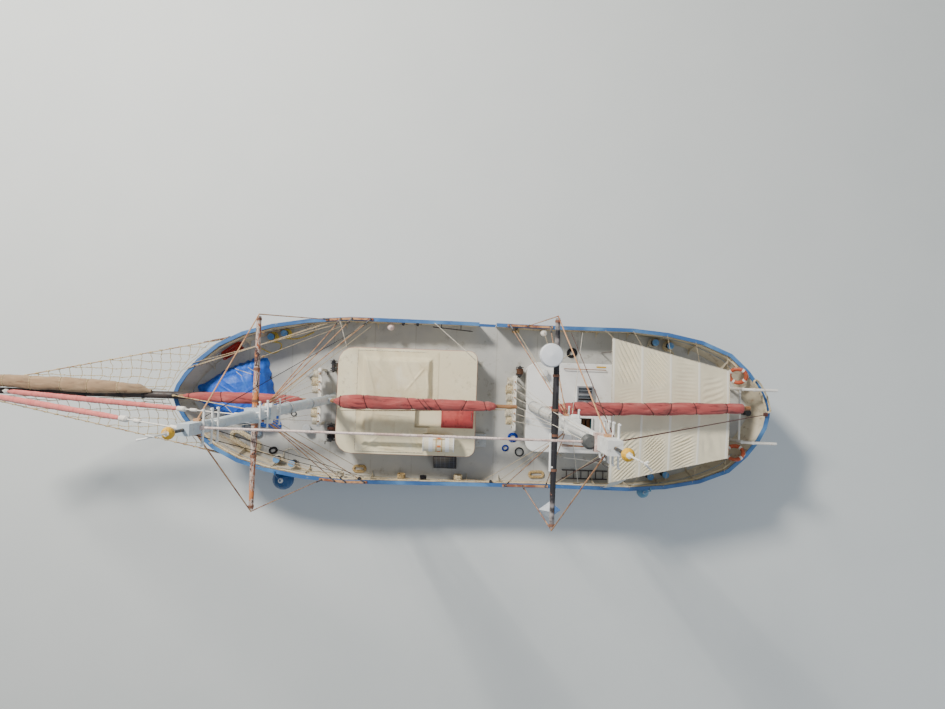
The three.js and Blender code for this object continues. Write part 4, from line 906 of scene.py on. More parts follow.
def net_place(x, y, side, shake):
    """A knot of the net: between the bowsprit and the guy, hanging a little."""
    inner, guy = max(0.14, bow_half(x) + 0.07), guy_at(x)
    share = max(0, min(1, (y - inner) / max(0.05, guy.y - inner)))
    z = (sprit_z(x) - 0.1) * (1 - share) + guy.z * share
    sag = 0.14 * sin(pi * share) * min(1, guy.y)
    return (x + shake.uniform(-1, 1) * 0.035, side * (y + shake.uniform(-1, 1) * 0.02), z - sag)


NET_CELL = 0.3
NET_FORE, NET_AFT = 16.05, 8.95
shake = random.Random(7)
knots, net_runs = [], []
for side in (1, -1):
    x = NET_FORE
    while x > NET_AFT:
        inner, outer = max(0.14, bow_half(x) + 0.07), guy_at(x).y
        if outer - inner > 0.08:
            count = max(2, int((outer - inner) / 0.1))
            run = [net_place(x - 0.05 * sin(pi * n / count), inner + (outer - inner) * n / count, side, shake)
                   for n in range(count + 1)]
            run[0] = net_place(x, inner, side, random.Random(0))
            run[-1] = tuple(guy_at(x) * Vector((1, side, 1)))
            net_runs.append(run)
        x -= NET_CELL
    for number in range(1, 8):
        y = number * NET_CELL * 0.93
        start = NET_FORE
        while guy_at(start).y < y:
            start -= 0.02
        run = [tuple(guy_at(start) * Vector((1, side, 1)))]
        x = start - 0.15
        while x > 8.9 and bow_half(x) + 0.05 < y < guy_at(x).y:
            run.append(net_place(x, y + 0.015 * sin(5 * x), side, shake))
            knots.append(run[-1])
            x -= 0.15
        if len(run) > 2:
            net_runs.append(run)
    net_runs.append([(x, side * (bow_half(x) + 0.07),
                      (sprit_z(10.5) - 0.1) * (x - 8.9) / 1.6 + 2.25 * (10.5 - x) / 1.6)
                     for x in (10.5, 10.35, 10.15, 9.9, 9.6, 9.3, 9.0, 8.9)])
net_rope = rope_finish("net_rope", (226, 212, 172), (176, 150, 104))
curve("bow_nets", net_runs, 0.011, net_rope, sides=1)
seizings = bmesh.new()
for place in knots[::2]:
    ball = bmesh.ops.create_icosphere(seizings, subdivisions=1, radius=0.024)["verts"]
    bmesh.ops.translate(seizings, verts=ball, vec=place)
for side in (1, -1):
    for number in range(26):
        at_guy = guy_at(NET_FORE - number * 0.3) * Vector((1, side, 1))
        rod(seizings, at_guy - Vector((0.06, 0, -0.015)), at_guy + Vector((0.06, 0, -0.015)), 0.027, sides=6)
finished("net_knots", seizings, net_rope)

guy_screws, guy_shackles = bmesh.new(), bmesh.new()
for side in (1, -1):
    flip = Vector((1, side, 1))
    rod(guy_screws, guy_at(8.62) * flip, guy_at(9.35) * flip, 0.036, sides=10)
    rod(guy_screws, guy_at(9.35) * flip, guy_at(9.62) * flip, 0.026, sides=8)
    block(guy_shackles, guy_at(8.52) * flip, (0.22, 0.05, 0.09), turn=-side * 0.25)
    block(guy_shackles, guy_at(8.8) * flip, (0.07, 0.09, 0.09), turn=-side * 0.25)
finished("guy_screws", guy_screws, iron)
finished("guy_shackles", guy_shackles, black_iron)

sprit_iron = bmesh.new()
for x, r in ((11.2, 0.128), (13.0, 0.123), (14.8, 0.117), (16.85, 0.1)):
    band(sprit_iron, r, r + 0.014, 0.04, 0.035, (x, 0, sprit_z(x)), (1, 0, 0.158), 20)
finished("bowsprit_bands", sprit_iron, black_iron)
footrope = [[(x, side * (0.16 + 0.02 * sin(3 * x)), sprit_z(x) - 0.16 - 0.1 * abs(sin(1.6 * x)))
             for x in [10.6 + n * 0.28 for n in range(21)]] for side in (1, -1)]
curve("bowsprit_footropes", footrope, 0.012, net_rope, sides=1)

# The furled jibs: salmon sails rolled tight on their stays, with the lay of the leech winding round
# them and bare white swivels and wire at both ends.
jib_finish = Finish("jib_canvas", (226, 122, 114), 0.8, Sheen_Weight=0.15)
jib_finish.blots((200, 92, 90), 0.45, 0.62, 0.7, 0.35, detail=6, rough=0.7)
jib_finish.blots((238, 160, 148), 0.58, 0.66, 0.7, 0.08, detail=8, rough=0.75)
jib_finish.lumps(0.008, 0.05, detail=5)
jib_white = painted("jib_fittings", (232, 226, 216), (246, 244, 238), (150, 142, 130), 0.5, size=0.15)
JIB_R = 0.082
JIBS = [
    ("inner_jib", (15.3, 0, sprit_z(15.3) + 0.23), (5.3453, 0, 10.8), 0.8),
    ("outer_jib", (16.6, 0, sprit_z(16.6) + 0.25), (5.2853, 0, 14.25), 0.84),
]
for name, foot, head, shown in JIBS:
    foot, head = Vector(foot), Vector(head)
    turn = (head - foot).to_track_quat("Z", "Y").to_matrix()
    length = (head - foot).length

    def roll_place(u, v):
        """The rolled sail: a thin ridge winds up it, and it tapers to both ends."""
        along = 0.03 + (shown - 0.03) * u
        angle = v * tau
        wind = (angle / tau + u * length / 0.26) % 1
        size = JIB_R * (1 - 0.42 * max(0, (along - 0.5) / 0.4)) if along < 0.9 else JIB_R * 0.58
        size *= min(1, 0.35 + 14 * u, 0.45 + 20 * (1 - u))
        size += 0.007 * (1 - wind) ** 3 - 0.004 + 0.003 * sin(u * 70)
        return foot + turn @ Vector((size * cos(angle), size * sin(angle), along * length))

    sail = finished(name + "_roll", spread(420, 16, roll_place), jib_finish, crease=60)
    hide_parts(name)
    fittings = bmesh.new()
    rod(fittings, foot - Vector((0, 0, 0.035)), foot.lerp(head, 0.03), 0.03)
    rod(fittings, foot.lerp(head, 0.012), foot.lerp(head, 0.995), 0.014)
    for share, size, long in ((0.022, 0.075, 0.1), (shown + 0.005, 0.062, 0.3), (shown + 0.045, 0.04, 0.25),
                              (0.985, 0.04, 0.3)):
        middle = foot.lerp(head, share)
        band(fittings, 0.02, size, long / 2, long / 2 - 0.02, middle, head - foot, 14)
    finished(name + "_swivels", fittings, jib_white)

# The furled sails: terracotta canvas covers laced over the sails on their booms, full between the
# dark ties and pinched under them, with creases that run along; each rides on its own boom.
cover_finish = Finish("cover_canvas", (180, 84, 80), 0.85, Sheen_Weight=0.2)
folds = cover_finish.cloud(0.16, detail=6, rough=0.65, bend=0.5, stretch=(0.22, 1, 1))
# The same fold pattern paints the canvas lighter on its raised folds and darker in the hollows between them: painted
# highlight and painted shade.
cover_finish.tint(cover_finish.from_to(folds, 0.52, 0.68, end=0.7), (206, 116, 108))
cover_finish.tint(cover_finish.from_to(folds, 0.46, 0.36, end=0.75), (108, 40, 44))
cover_finish.blots((156, 100, 92), 0.5, 0.66, 0.45, 0.6, detail=8, rough=0.7)
cover_finish.relief(folds, 0.035)
cover_finish.lumps(0.0009, 0.006, detail=2)
tie_finish = Finish("cover_ties", (58, 34, 38), 0.9)
tie_finish.blots((92, 56, 56), 0.45, 0.6, 1, 0.05)

# name, body, start and end of the cover along the boom: x, y, height of its underside; sections of
# (place along, half width, half height); ties as (place along, slant)
COVERS = [
    ("foresail", "fore_boom", (4.79, 0, 3.295), (-0.7, 0, 3.295),
     [(0, 0.06, 0.06), (0.015, 0.1, 0.09), (0.05, 0.21, 0.19), (0.12, 0.24, 0.205), (0.3, 0.215, 0.185),
      (0.55, 0.195, 0.168), (0.75, 0.185, 0.16), (0.95, 0.165, 0.142), (0.985, 0.12, 0.1), (1, 0.05, 0.05)],
     [(0.045, 0.0), (0.2, 0.08), (0.47, 0.1), (0.545, 0.16), (0.575, 0.16), (0.64, 0.12), (0.8, -0.08),
      (0.93, 0.05)]),
    ("mainsail", "main_boom", (-2.42, -0.003, 3.805), (-8.9, -0.241, 3.805),
     [(0, 0.06, 0.06), (0.015, 0.1, 0.09), (0.05, 0.2, 0.18), (0.12, 0.225, 0.2), (0.3, 0.215, 0.185),
      (0.55, 0.205, 0.175), (0.75, 0.2, 0.168), (0.96, 0.175, 0.15), (0.99, 0.16, 0.135), (1, 0.05, 0.05)],
     [(0.06, 0.0), (0.13, 0.1), (0.235, 0.3), (0.28, 0.34), (0.36, -0.06), (0.505, 0.16), (0.61, -0.05),
      (0.74, 0.05), (0.9, 0.0)]),
    ("staysail", "staysail_boom", (9.75, 0, 3.492), (5.9, 0, 3.182),
     [(0, 0.05, 0.045), (0.04, 0.1, 0.075), (0.15, 0.155, 0.105), (0.5, 0.195, 0.135), (0.85, 0.165, 0.112),
      (0.96, 0.11, 0.08), (1, 0.05, 0.05)],
     [(0.05, 0.0), (0.33, 0.04), (0.62, -0.04), (0.87, 0.02)]),
]


def section(rows, share):
    """Half width and half height at a place along a bundle."""
    for (a, wa, ha), (b, wb, hb) in zip(rows, rows[1:]):
        if share <= b:
            part = (share - a) / (b - a)
            part = part * part * (3 - 2 * part)
            return wa + (wb - wa) * part, ha + (hb - ha) * part
    return rows[-1][1:]


def cover_place(start, end, rows, ties, seed, proud=0.0):
    """Gives the point of a cover's skin at a share along it and a share round it."""
    start, end = Vector(start), Vector(end)
    length = (end - start).length

    def place(u, v):
        wide, high = section(rows, u)
        angle = v * tau
        middle = start.lerp(end, u) + Vector((0, 0, high))
        crease = noise.noise(Vector((u * length * 0.9, cos(angle) * 1.4, sin(angle) * 1.4 + seed)))
        crease += 0.5 * noise.noise(Vector((u * length * 2.6, cos(angle) * 3, sin(angle) * 3 + seed)))
        pinch = 0.0
        for share, slant in ties:
            off = (u - share) * length - slant * cos(angle)
            pinch = max(pinch, exp(-(off / 0.055) ** 2))
        full = 1 + 0.16 * crease * min(1, 12 * u, 12 * (1 - u)) - 0.13 * pinch
        return middle + Vector((0, wide * full * cos(angle), high * full * sin(angle))) * (1 + proud)

    return place


PUFF_FRAMES = 14


def puffed(piece, pinned, cap):
    """Blows a cover up like cloth between its ties, and keeps what comes out as its mesh."""
    held = piece.vertex_groups.new(name="held")
    for number, weight in pinned:
        held.add([number], weight, "REPLACE")
    before = [v.co.copy() for v in piece.data.vertices]
    cloth = piece.modifiers.new("canvas", "CLOTH")
    cloth.settings.quality = 5
    cloth.settings.mass = 0.3
    cloth.settings.tension_stiffness = cloth.settings.compression_stiffness = 12
    cloth.settings.bending_stiffness = 0.5
    cloth.settings.use_pressure = True
    cloth.settings.uniform_pressure_force = 4
    cloth.settings.vertex_group_mass = "held"
    cloth.settings.effector_weights.gravity = 0
    cloth.collision_settings.use_collision = False
    scene = bpy.context.scene
    for frame_number in range(1, PUFF_FRAMES + 1):
        scene.frame_set(frame_number)
    shown = piece.evaluated_get(bpy.context.evaluated_depsgraph_get()).to_mesh()
    after = [v.co.copy() for v in shown.vertices]
    piece.modifiers.remove(cloth)
    scene.frame_set(1)
    for vert, old, new in zip(piece.data.vertices, before, after):
        move = new - old
        if move.length > cap:
            move *= cap / move.length
        vert.co = old + move


def rounded(piece):
    """Rounds the folds of a cover once more, after its cloth has been drawn."""
    rounder = piece.modifiers.new("rounder", "SUBSURF")
    rounder.levels = rounder.render_levels = 1


for name, body, start, end, rows, ties in COVERS:
    place = cover_place(start, end, rows, ties, len(name) * 1.7)
    length = (Vector(end) - Vector(start)).length
    cover = spread(int(length / 0.035), 44, place)
    piece = finished(name + "_cover", cover, cover_finish, body, crease=75)
    held = []
    for vert in piece.data.vertices:
        share = (vert.co - Vector(start)).dot(Vector(end) - Vector(start)) / length ** 2
        angle = cos(atan2(vert.co.z - start[2] - section(rows, share)[1], vert.co.y))
        near = min(abs((share - tie) * length - slant * angle) for tie, slant in ties)
        ends = min(share, 1 - share) * length
        if near < 0.03 or ends < 0.05:
            held.append((vert.index, 1.0))
    puffed(piece, held, 0.03)
    rounded(piece)
    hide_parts(name)
    outside = cover_place(start, end, rows, [], len(name) * 1.7, proud=-0.06)
    runs = [[tuple(outside(share + slant * cos(n / 32 * tau) / length, n / 32)) for n in range(32)]
            for share, slant in ties]
    curve(name + "_ties", runs, 0.011, tie_finish, body, closed=True, sides=1)

boom_wood = painted("boom_varnish", (150, 104, 66), (186, 142, 100), (84, 56, 40), 0.4, size=0.3)
boom_wood.lumps(0.002, 0.06, stretch=(0.1, 1, 1))
dress(["fore_boom", "main_boom", "staysail_boom"], boom_wood)

# The spare sail, stowed in a long tan canvas bag along the starboard side of the bowsprit: slack
# and rumpled, drawn to a point at both ends and lashed down with light line.
bag_finish = Finish("bag_canvas", (168, 140, 110), 0.9, Sheen_Weight=0.2)
bag_folds_and_shade = bag_finish.cloud(0.22, detail=6, rough=0.6, bend=0.7, stretch=(0.35, 1, 1))
# The fold pattern paints the bag lighter on its raised folds and darker in the hollows between them: painted
# highlight and painted shade.
bag_finish.tint(bag_finish.from_to(bag_folds_and_shade, 0.52, 0.7, end=0.7), (192, 166, 134))
bag_finish.tint(bag_finish.from_to(bag_folds_and_shade, 0.46, 0.36, end=0.7), (120, 94, 74))
bag_finish.blots((146, 128, 104), 0.54, 0.66, 0.5, 0.7, detail=9, rough=0.7)
bag_finish.relief(bag_folds_and_shade, 0.03)
bag_finish.lumps(0.001, 0.006, detail=2)

# x, y of its middle, half width, half height
BAG_ROWS = [
    (10.9, -0.12, 0.055, 0.055), (11.3, -0.2, 0.165, 0.108), (12.5, -0.235, 0.245, 0.138), (14.2, -0.3, 0.235, 0.138),
    (15.1, -0.34, 0.212, 0.128), (15.9, -0.3, 0.165, 0.108), (16.25, -0.23, 0.055, 0.055),
]
BAG_TIES = (11.9, 12.8, 13.6, 14.5, 15.3)


def bag_place(u, v, proud=0.0):
    """A point of the bag's skin: its side to the bowsprit lies flat against the timber."""
    x = BAG_ROWS[0][0] + (BAG_ROWS[-1][0] - BAG_ROWS[0][0]) * u
    for near, far in zip(BAG_ROWS, BAG_ROWS[1:]):
        if x <= far[0] + 1e-6:
            part = (x - near[0]) / (far[0] - near[0])
            part = part * part * (3 - 2 * part)
            y, wide, high = (near[n] + (far[n] - near[n]) * part for n in (1, 2, 3))
            break
    angle = v * tau
    rumple = noise.noise(Vector((x * 1.1, cos(angle) * 1.3, sin(angle) * 1.3)))
    rumple += 0.5 * noise.noise(Vector((x * 3.1, cos(angle) * 2.6, sin(angle) * 2.6)))
    pinch = max(exp(-((x - tie) / 0.06) ** 2) for tie in BAG_TIES)
    size = 1 + 0.15 * rumple * min(1, 10 * u, 10 * (1 - u)) - 0.14 * pinch + proud
    ty = y + wide * size * cos(angle)
    tz = sprit_z(x) + 0.065 + high + high * size * sin(angle)
    off = hypot(ty, tz - sprit_z(x))
    if off < 0.146:
        ty, tz = ty * 0.146 / off, sprit_z(x) + (tz - sprit_z(x)) * 0.146 / off
    return Vector((x, ty, tz))


bag_piece = finished("sail_bag_canvas", spread(150, 44, bag_place), bag_finish, crease=75)
held = [(v.index, 1.0) for v in bag_piece.data.vertices
        if min(abs(v.co.x - tie) for tie in BAG_TIES) < 0.04 or hypot(v.co.y, v.co.z - sprit_z(v.co.x)) < 0.16
        or v.co.x < 11.0 or v.co.x > 16.15]
puffed(bag_piece, held, 0.025)
rounded(bag_piece)
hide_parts("sail_bag")
lashings = []
for tie in BAG_TIES:
    u = (tie - BAG_ROWS[0][0]) / (BAG_ROWS[-1][0] - BAG_ROWS[0][0])
    lashings.append([tuple(bag_place(u, n / 36, 0.06)) for n in range(36)])
curve("sail_bag_lashings", lashings, 0.01, net_rope, closed=True, sides=1)

# The forward deckhouse: cream steel walls with dark glass, a buff non-slip roof with a pinkish
# edge bead, a tarpaulin laced over its raised middle, a red hatch that slides aft to forward on
# two runners, a raft canister on the roof and a solar panel that leans against its port side.
house_paint = painted("house_cream", (232, 220, 190), (242, 232, 208), (176, 156, 122), 0.55)
rusty(house_paint, low=0.66, high=0.78, colour=(166, 112, 70))
dress(["house_fore"], house_paint)
roof_paint = painted("roof_buff", (240, 228, 192), (248, 240, 212), (206, 194, 160), 0.75)
roof_paint.blots((190, 170, 130), 0.62, 0.7, 0.5, 0.06, detail=8, rough=0.8)
roof_paint.lumps(0.001, 0.008, detail=2)
dress(["house_fore_roof"], roof_paint)

glass = Finish("dark_glass", (24, 32, 38), 0.08, Specular_IOR_Level=0.6, Coat_Weight=0.5)
glass.blots((54, 66, 72), 0.4, 0.7, 0.6, 0.5)
window_frames, window_panes = bmesh.new(), bmesh.new()
# places of the windows: x, half length, low, high, half width of the wall
WINDOWS = [(x, 0.18, 1.75, 1.98, 1.82) for x in (0.7, 1.5, 2.3, 3.1, 3.9)]
WINDOWS += [(x, 0.22, 1.95, 2.33, 1.5) for x in (-4.7, -3.9, -3.1)]
for x, half, low, high, wall in WINDOWS:
    for side in (1, -1):
        block(window_panes, (x, side * (wall - 0.03), (low + high) / 2), (2 * half - 0.01, 0.012, high - low - 0.01),
              edge=0)
        for z in (low - 0.012, high + 0.012):
            block(window_frames, (x, side * (wall + 0.008), z), (2 * half + 0.07, 0.022, 0.034))
        for dx in (-half - 0.012, half + 0.012):
            block(window_frames, (x + dx, side * (wall + 0.008), (low + high) / 2), (0.034, 0.022, high - low + 0.05))
finished("window_panes", window_panes, glass)
finished("window_frames", window_frames, fresh_white)


EDGE_STEPS = 220


def roof_edge(node, height, proud):
    """Points round the edge of a roof, just outside it."""
    tree, (low, high) = mesh_of(node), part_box(node)
    middle = (low + high) / 2
    points = []
    for number in range(EDGE_STEPS):
        angle = number / EDGE_STEPS * tau
        out = Vector((cos(angle), sin(angle), 0))
        start = Vector((middle.x, middle.y, height)) + out * 5
        hit = tree.ray_cast(start, -out)[0]
        points.append(tuple(hit + out * proud))
    return points


bead_finish = painted("edge_bead", (186, 142, 128), (206, 166, 150), (140, 100, 88), 0.6, size=0.3)
curve("house_fore_edge_bead", [roof_edge("house_fore_roof", 2.275, 0.006)], 0.017, bead_finish, closed=True)
bead_white = painted("edge_white", (244, 242, 236), (250, 249, 245), (200, 192, 176), 0.5, size=0.3)
curve("house_aft_edge_bead", [roof_edge("house_aft_roof", 2.675, 0.005)], 0.018, bead_white, closed=True)

canvas = Finish("roof_canvas", (240, 228, 192), 0.88, Sheen_Weight=0.1)
canvas.blots((224, 206, 164), 0.46, 0.66, 0.7, 0.9, detail=7, rough=0.65)
canvas.blots((188, 164, 112), 0.6, 0.72, 0.6, 0.35, detail=9, rough=0.75, bend=0.8)
canvas.blots((250, 243, 222), 0.56, 0.7, 0.5, 0.5, detail=5, stretch=(1, 0.4, 1))
canvas.lumps(0.016, 0.14, detail=5, rough=0.6, bend=0.6)
canvas.lumps(0.0007, 0.005, detail=2)

ROOF_Z = 2.3
TARP_X, TARP_HALF = (1.33, 4.2), 1.775
# creases of the tarpaulin: from x, y to x, y, height, width
TARP_CREASES = [
    (3.95, -1.75, 3.55, -0.3, 0.03, 0.05), (3.8, -1.55, 2.95, -0.6, 0.022, 0.04),
    (3.3, -1.6, 2.55, -0.45, 0.022, 0.035),
    (2.6, -1.62, 2.05, -0.5, 0.026, 0.04), (2.2, -1.55, 1.6, -1.05, 0.026, 0.04),
    (2.45, -0.42, 1.75, -1.3, 0.024, 0.035),
    (3.6, 0.2, 3.62, 1.3, 0.034, 0.06), (2.78, 0.35, 2.8, 1.5, 0.014, 0.025), (3.55, 0.45, 2.3, 0.5, 0.016, 0.03),
    (2.35, 0.95, 2.05, 1.55, 0.03, 0.05), (2.2, 0.92, 1.95, 1.7, 0.024, 0.04), (3.9, 1.7, 3.3, 1.15, 0.028, 0.05),
    (3.4, 1.62, 2.4, 1.72, 0.02, 0.04), (1.6, -0.2, 1.75, -1.2, 0.024, 0.04),
]


def ease(value):
    value = max(0.0, min(1.0, value))
    return value * value * (3 - 2 * value)


def crease_height(x, y, creases):
    """Sum of the ridges that a point lies on."""
    total = 0.0
    for xa, ya, xb, yb, height, width in creases:
        dx, dy = xb - xa, yb - ya
        share = max(0.0, min(1.0, ((x - xa) * dx + (y - ya) * dy) / (dx * dx + dy * dy)))
        off = hypot(x - xa - dx * share, y - ya - dy * share)
        total = max(total, height * exp(-(off / width) ** 2) * sin(pi * (0.08 + 0.84 * share)))
    return total


def tarp_z(x, y):
    """Height of the tarpaulin: drawn over the raised middle and down to the roof at its edges."""
    inset = min(x - TARP_X[0], TARP_X[1] - x, TARP_HALF - abs(y))
    raised = ease((inset - 0.2) / 0.17)
    wave = noise.noise(Vector((x * 1.7, y * 1.7, 3))) * 0.5 + noise.noise(Vector((x * 5, y * 5, 8))) * 0.2
    slope = raised * (1 - raised) * 4
    pulls = 0.012 * slope * sin(26 * (x + y * 0.3)) + 0.012 * slope * noise.noise(Vector((x * 9, y * 9, 1)))
    return ROOF_Z + 0.012 + 0.19 * raised + crease_height(x, y, TARP_CREASES) * 1.35 + wave * 0.018 * min(1,
            inset * 8) + pulls


HATCH_RUN = (2.1, -0.015, 0.875)
RAFT_BAY = (1.79, 1.07)
tarp = bmesh.new()
bmesh.ops.create_grid(tarp, x_segments=110, y_segments=136, size=0.5)
for vert in tarp.verts:
    vert.co = Vector((TARP_X[0] + (vert.co.x + 0.5) * (TARP_X[1] - TARP_X[0]), vert.co.y * 2 * TARP_HALF, 0))
for place, normal in (((HATCH_RUN[0], 0, 0), (1, 0, 0)), ((0, HATCH_RUN[1], 0), (0, 1, 0)),
                      ((0, HATCH_RUN[2], 0), (0, 1, 0)),
                      ((RAFT_BAY[0], 0, 0), (1, 0, 0)), ((0, RAFT_BAY[1], 0), (0, 1, 0))):
    bmesh.ops.bisect_plane(tarp, geom=tarp.verts[:] + tarp.edges[:] + tarp.faces[:], plane_co=place, plane_no=normal)
gone = []
for face in tarp.faces:
    x, y, _ = face.calc_center_median()
    if (x < HATCH_RUN[0] and HATCH_RUN[1] < y < HATCH_RUN[2]) or (x < RAFT_BAY[0] and y > RAFT_BAY[1]):
        gone.append(face)
bmesh.ops.delete(tarp, geom=gone, context="FACES")
for vert in tarp.verts:
    vert.co.z = tarp_z(vert.co.x, vert.co.y)
tarp_piece = finished("house_tarpaulin_canvas", tarp, canvas, crease=75)
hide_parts("house_tarpaulin")
hem = [[(x, TARP_HALF * side,
         tarp_z(x, TARP_HALF * side) + 0.004) for x in [1.8 + n * 0.1 for n in range(25)]] for side in (1, -1)]
hem += [[(4.2, y, tarp_z(4.2, y) + 0.004) for y in [-1.77 + n * 0.118 for n in range(31)]]]
hems = curve("house_tarpaulin_hem", hem, 0.012, white_rope, sides=1)

red_paint = painted("hatch_red", (180, 66, 64), (214, 104, 92), (112, 40, 44), 0.5, size=0.7)
dress(["sliding_hatch"], red_paint)
hatch_trim, hatch_grip = bmesh.new(), bmesh.new()
low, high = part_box("sliding_hatch")
for y in (low.y + 0.02, high.y - 0.02):
    block(hatch_trim, ((low.x + high.x) / 2, y, high.z + 0.004), (high.x - low.x - 0.02, 0.035, 0.008), edge=0.002)
for x in (low.x + 0.02, high.x - 0.02, (low.x + high.x) / 2):
    block(hatch_trim, (x, (low.y + high.y) / 2, high.z + 0.003), (0.035, high.y - low.y - 0.02, 0.006), edge=0.002)
for y in (0.3, 0.56):
    rod(hatch_grip, (low.x + 0.07, y, high.z), (low.x + 0.07, y, high.z + 0.045), 0.009, sides=8)
rod(hatch_grip, (low.x + 0.07, 0.29, high.z + 0.045), (low.x + 0.07, 0.57, high.z + 0.045), 0.011, sides=8)
finished("sliding_hatch_battens", hatch_trim, red_paint, "sliding_hatch")
finished("sliding_hatch_grip", hatch_grip, steel, "sliding_hatch")

dress(["liferaft"], painted("raft_shell", (236, 226, 198), (246, 241, 226), (190, 166, 118), 0.45, size=0.4))
raft_bands, raft_straps, raft_tag = bmesh.new(), bmesh.new(), bmesh.new()
RAFT_Y, RAFT_Z = 1.385, 2.635
for shape, spots, ring in ((raft_bands, (0.93, 1.5), (0.291, 0.297, 0.07, 0.066)),
                           (raft_bands, (0.71, 1.76), (0.291, 0.301, 0.02, 0.015)),
                           (raft_straps, (1.12, 1.31), (0.2905, 0.2945, 0.022, 0.022))):
    for x in spots:
        band(shape, *ring, (x, RAFT_Y, RAFT_Z), (1, 0, 0), 40)
for angle in (20, 75, 130):
    y = RAFT_Y + 0.2925 * cos(radians(angle))
    z = RAFT_Z + 0.2925 * sin(radians(angle))
    block(raft_tag, (1.215, y, z), (0.12, 0.07, 0.008), tilt=Matrix.Rotation(radians(angle - 90), 3, "X"), edge=0.002)
rod(raft_straps, (1.02, 1.2, 2.9), (1.42, 1.24, 2.902), 0.011, sides=8)
orange = painted("raft_orange", (222, 118, 60), (236, 150, 92), (160, 80, 44), 0.6, size=0.2)
webbing = painted("raft_webbing", (206, 178, 126), (222, 200, 156), (150, 120, 80), 0.85, size=0.1)
finished("liferaft_bands", raft_bands, fresh_white)
finished("liferaft_straps", raft_straps, webbing)
finished("liferaft_tags", raft_tag, orange)

cells = Finish("panel_cells", (14, 22, 42), 0.3, Coat_Weight=0.3)
cells.blots((34, 50, 84), 0.45, 0.65, 0.6, 0.2, detail=6)
for pitch, turn in ((0.155, 0), (0.16, 90)):
    wires = cells.from_to(cells.stripes(pitch, turn=(0, radians(turn), 0)), 0.975, 0.995, end=0.7)
    cells.tint(wires, (120, 132, 150))
fingers = cells.from_to(cells.stripes(0.031), 0.93, 0.99, end=0.35)
cells.tint(fingers, (74, 88, 116))
dress(["solar_panel"], cells)
panel_frame = bmesh.new()
for x in (0.605, 1.415):
    rod(panel_frame, (x, 1.905, 2.283), (x, 2.425, 1.335), 0.014, sides=6)
for y, z in ((1.885, 2.283), (2.425, 1.325)):
    rod(panel_frame, (0.6, y, z), (1.42, y, z), 0.014, sides=6)
finished("solar_panel_frame", panel_frame, black_iron)

# The after deckhouse: white walls and roof round the foot of the main mast, a glazed skylight lid
# on hinges, an open companionway lined in dark teal with a wooden ladder, and a door aft.
white_wall = painted("house_white", (236, 235, 230), (246, 245, 241), (182, 172, 150), 0.5)
rusty(white_wall, low=0.68, high=0.8, colour=(178, 140, 100))
dress(["house_aft", "house_aft_door"], white_wall)
white_roof = painted("roof_white", (244, 243, 238), (250, 250, 247), (216, 208, 190), 0.7)
white_roof.blots((186, 170, 140), 0.64, 0.72, 0.5, 0.05, detail=8, rough=0.8)
dress(["house_aft_roof"], white_roof)
lid_grey = painted("skylight_grey", (142, 146, 152), (172, 174, 176), (120, 96, 72), 0.5, size=0.4)
dress(["skylight_lid"], lid_grey)
low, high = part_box("skylight_lid")
panes, bars = bmesh.new(), bmesh.new()
for y in (0.15, 0.41):
    block(panes, ((low.x + high.x) / 2, low.y + y, high.z + 0.004), (0.46, 0.2, 0.008), edge=0.002)
for number in range(6):
    y = low.y + 0.055 + number * 0.09
    rod(bars, (low.x + 0.03, y, high.z + 0.022), (high.x - 0.03, y, high.z + 0.022), 0.007, sides=8)
for x in (low.x + 0.03, high.x - 0.03):
    block(bars, (x, (low.y + high.y) / 2, high.z + 0.012), (0.025, 0.5, 0.024), edge=0.003)
block(bars, ((low.x + high.x) / 2, high.y - 0.03, high.z + 0.012), (0.1, 0.03, 0.02), edge=0.003)
finished("skylight_panes", panes, glass, "skylight_lid")
finished("skylight_bars", bars, lid_grey, "skylight_lid")

teal = painted("companionway_teal", (26, 68, 74), (40, 92, 96), (18, 40, 44), 0.6, size=0.4)
teak = painted("ladder_teak", (150, 102, 64), (182, 134, 92), (92, 60, 40), 0.6, size=0.2)
lining, ladder = bmesh.new(), bmesh.new()
for x in (-4.043, -3.597):
    block(lining, (x, 0.535, 2.7), (0.012, 0.4, 0.16), edge=0)
for y in (0.337, 0.733):
    block(lining, (-3.82, y, 2.7), (0.44, 0.012, 0.16), edge=0)
block(lining, (-3.82, 0.535, 1.36), (1.2, 1.1, 0.02), edge=0)
for number in range(4):
    block(ladder, (-4.00 + number * 0.1, 0.535, 2.42 - number * 0.27), (0.12, 0.34, 0.025))
for y in (0.36, 0.71):
    rod(ladder, (-4.04, y, 2.6), (-3.62, y, 1.39), 0.018, sides=8)
finished("companionway_lining", lining, teal)
finished("companionway_ladder", ladder, teak)
door_bits, door_glass = bmesh.new(), bmesh.new()
turned(door_glass, [(0, 0), (0.13, 0.002), (0.13, 0.006), (0, 0.008)], (-5.294, 0.41, 2.22), (-1, 0, 0))
turned(door_bits, [(0.13, 0), (0.165, 0), (0.165, 0.018), (0.13, 0.018)], (-5.292, 0.41, 2.22), (-1, 0, 0), 28)
for z in (1.6, 2.35):
    rod(door_bits, (-5.308, 0.785, z - 0.06), (-5.308, 0.785, z + 0.06), 0.015, sides=8)
finished("aft_door_glass", door_glass, glass, "house_aft_door")
finished("aft_door_fittings", door_bits, steel, "house_aft_door")
roof_bits = bmesh.new()
rod(roof_bits, (-2.15, 0.2, 2.712), (-2.95, 0.62, 2.712), 0.022)
rod(roof_bits, (-3.05, 1.28, 2.712), (-4.4, 1.34, 2.712), 0.016)
for y, z, posts in ((1.32, 2.8, (-3.05, -3.7, -4.4)), (-1.36, 2.79, (-3.05, -3.8, -4.5))):
    rod(roof_bits, (posts[0], y, z), (posts[-1], y, z), 0.014)
    for x in posts:
        rod(roof_bits, (x, y, 2.7), (x, y, z), 0.012, sides=8)
finished("house_aft_handrails", roof_bits, teak)
yellow = painted("yellow_paint", (222, 178, 52), (236, 204, 96), (150, 120, 44), 0.5, size=0.2)
strip = bmesh.new()
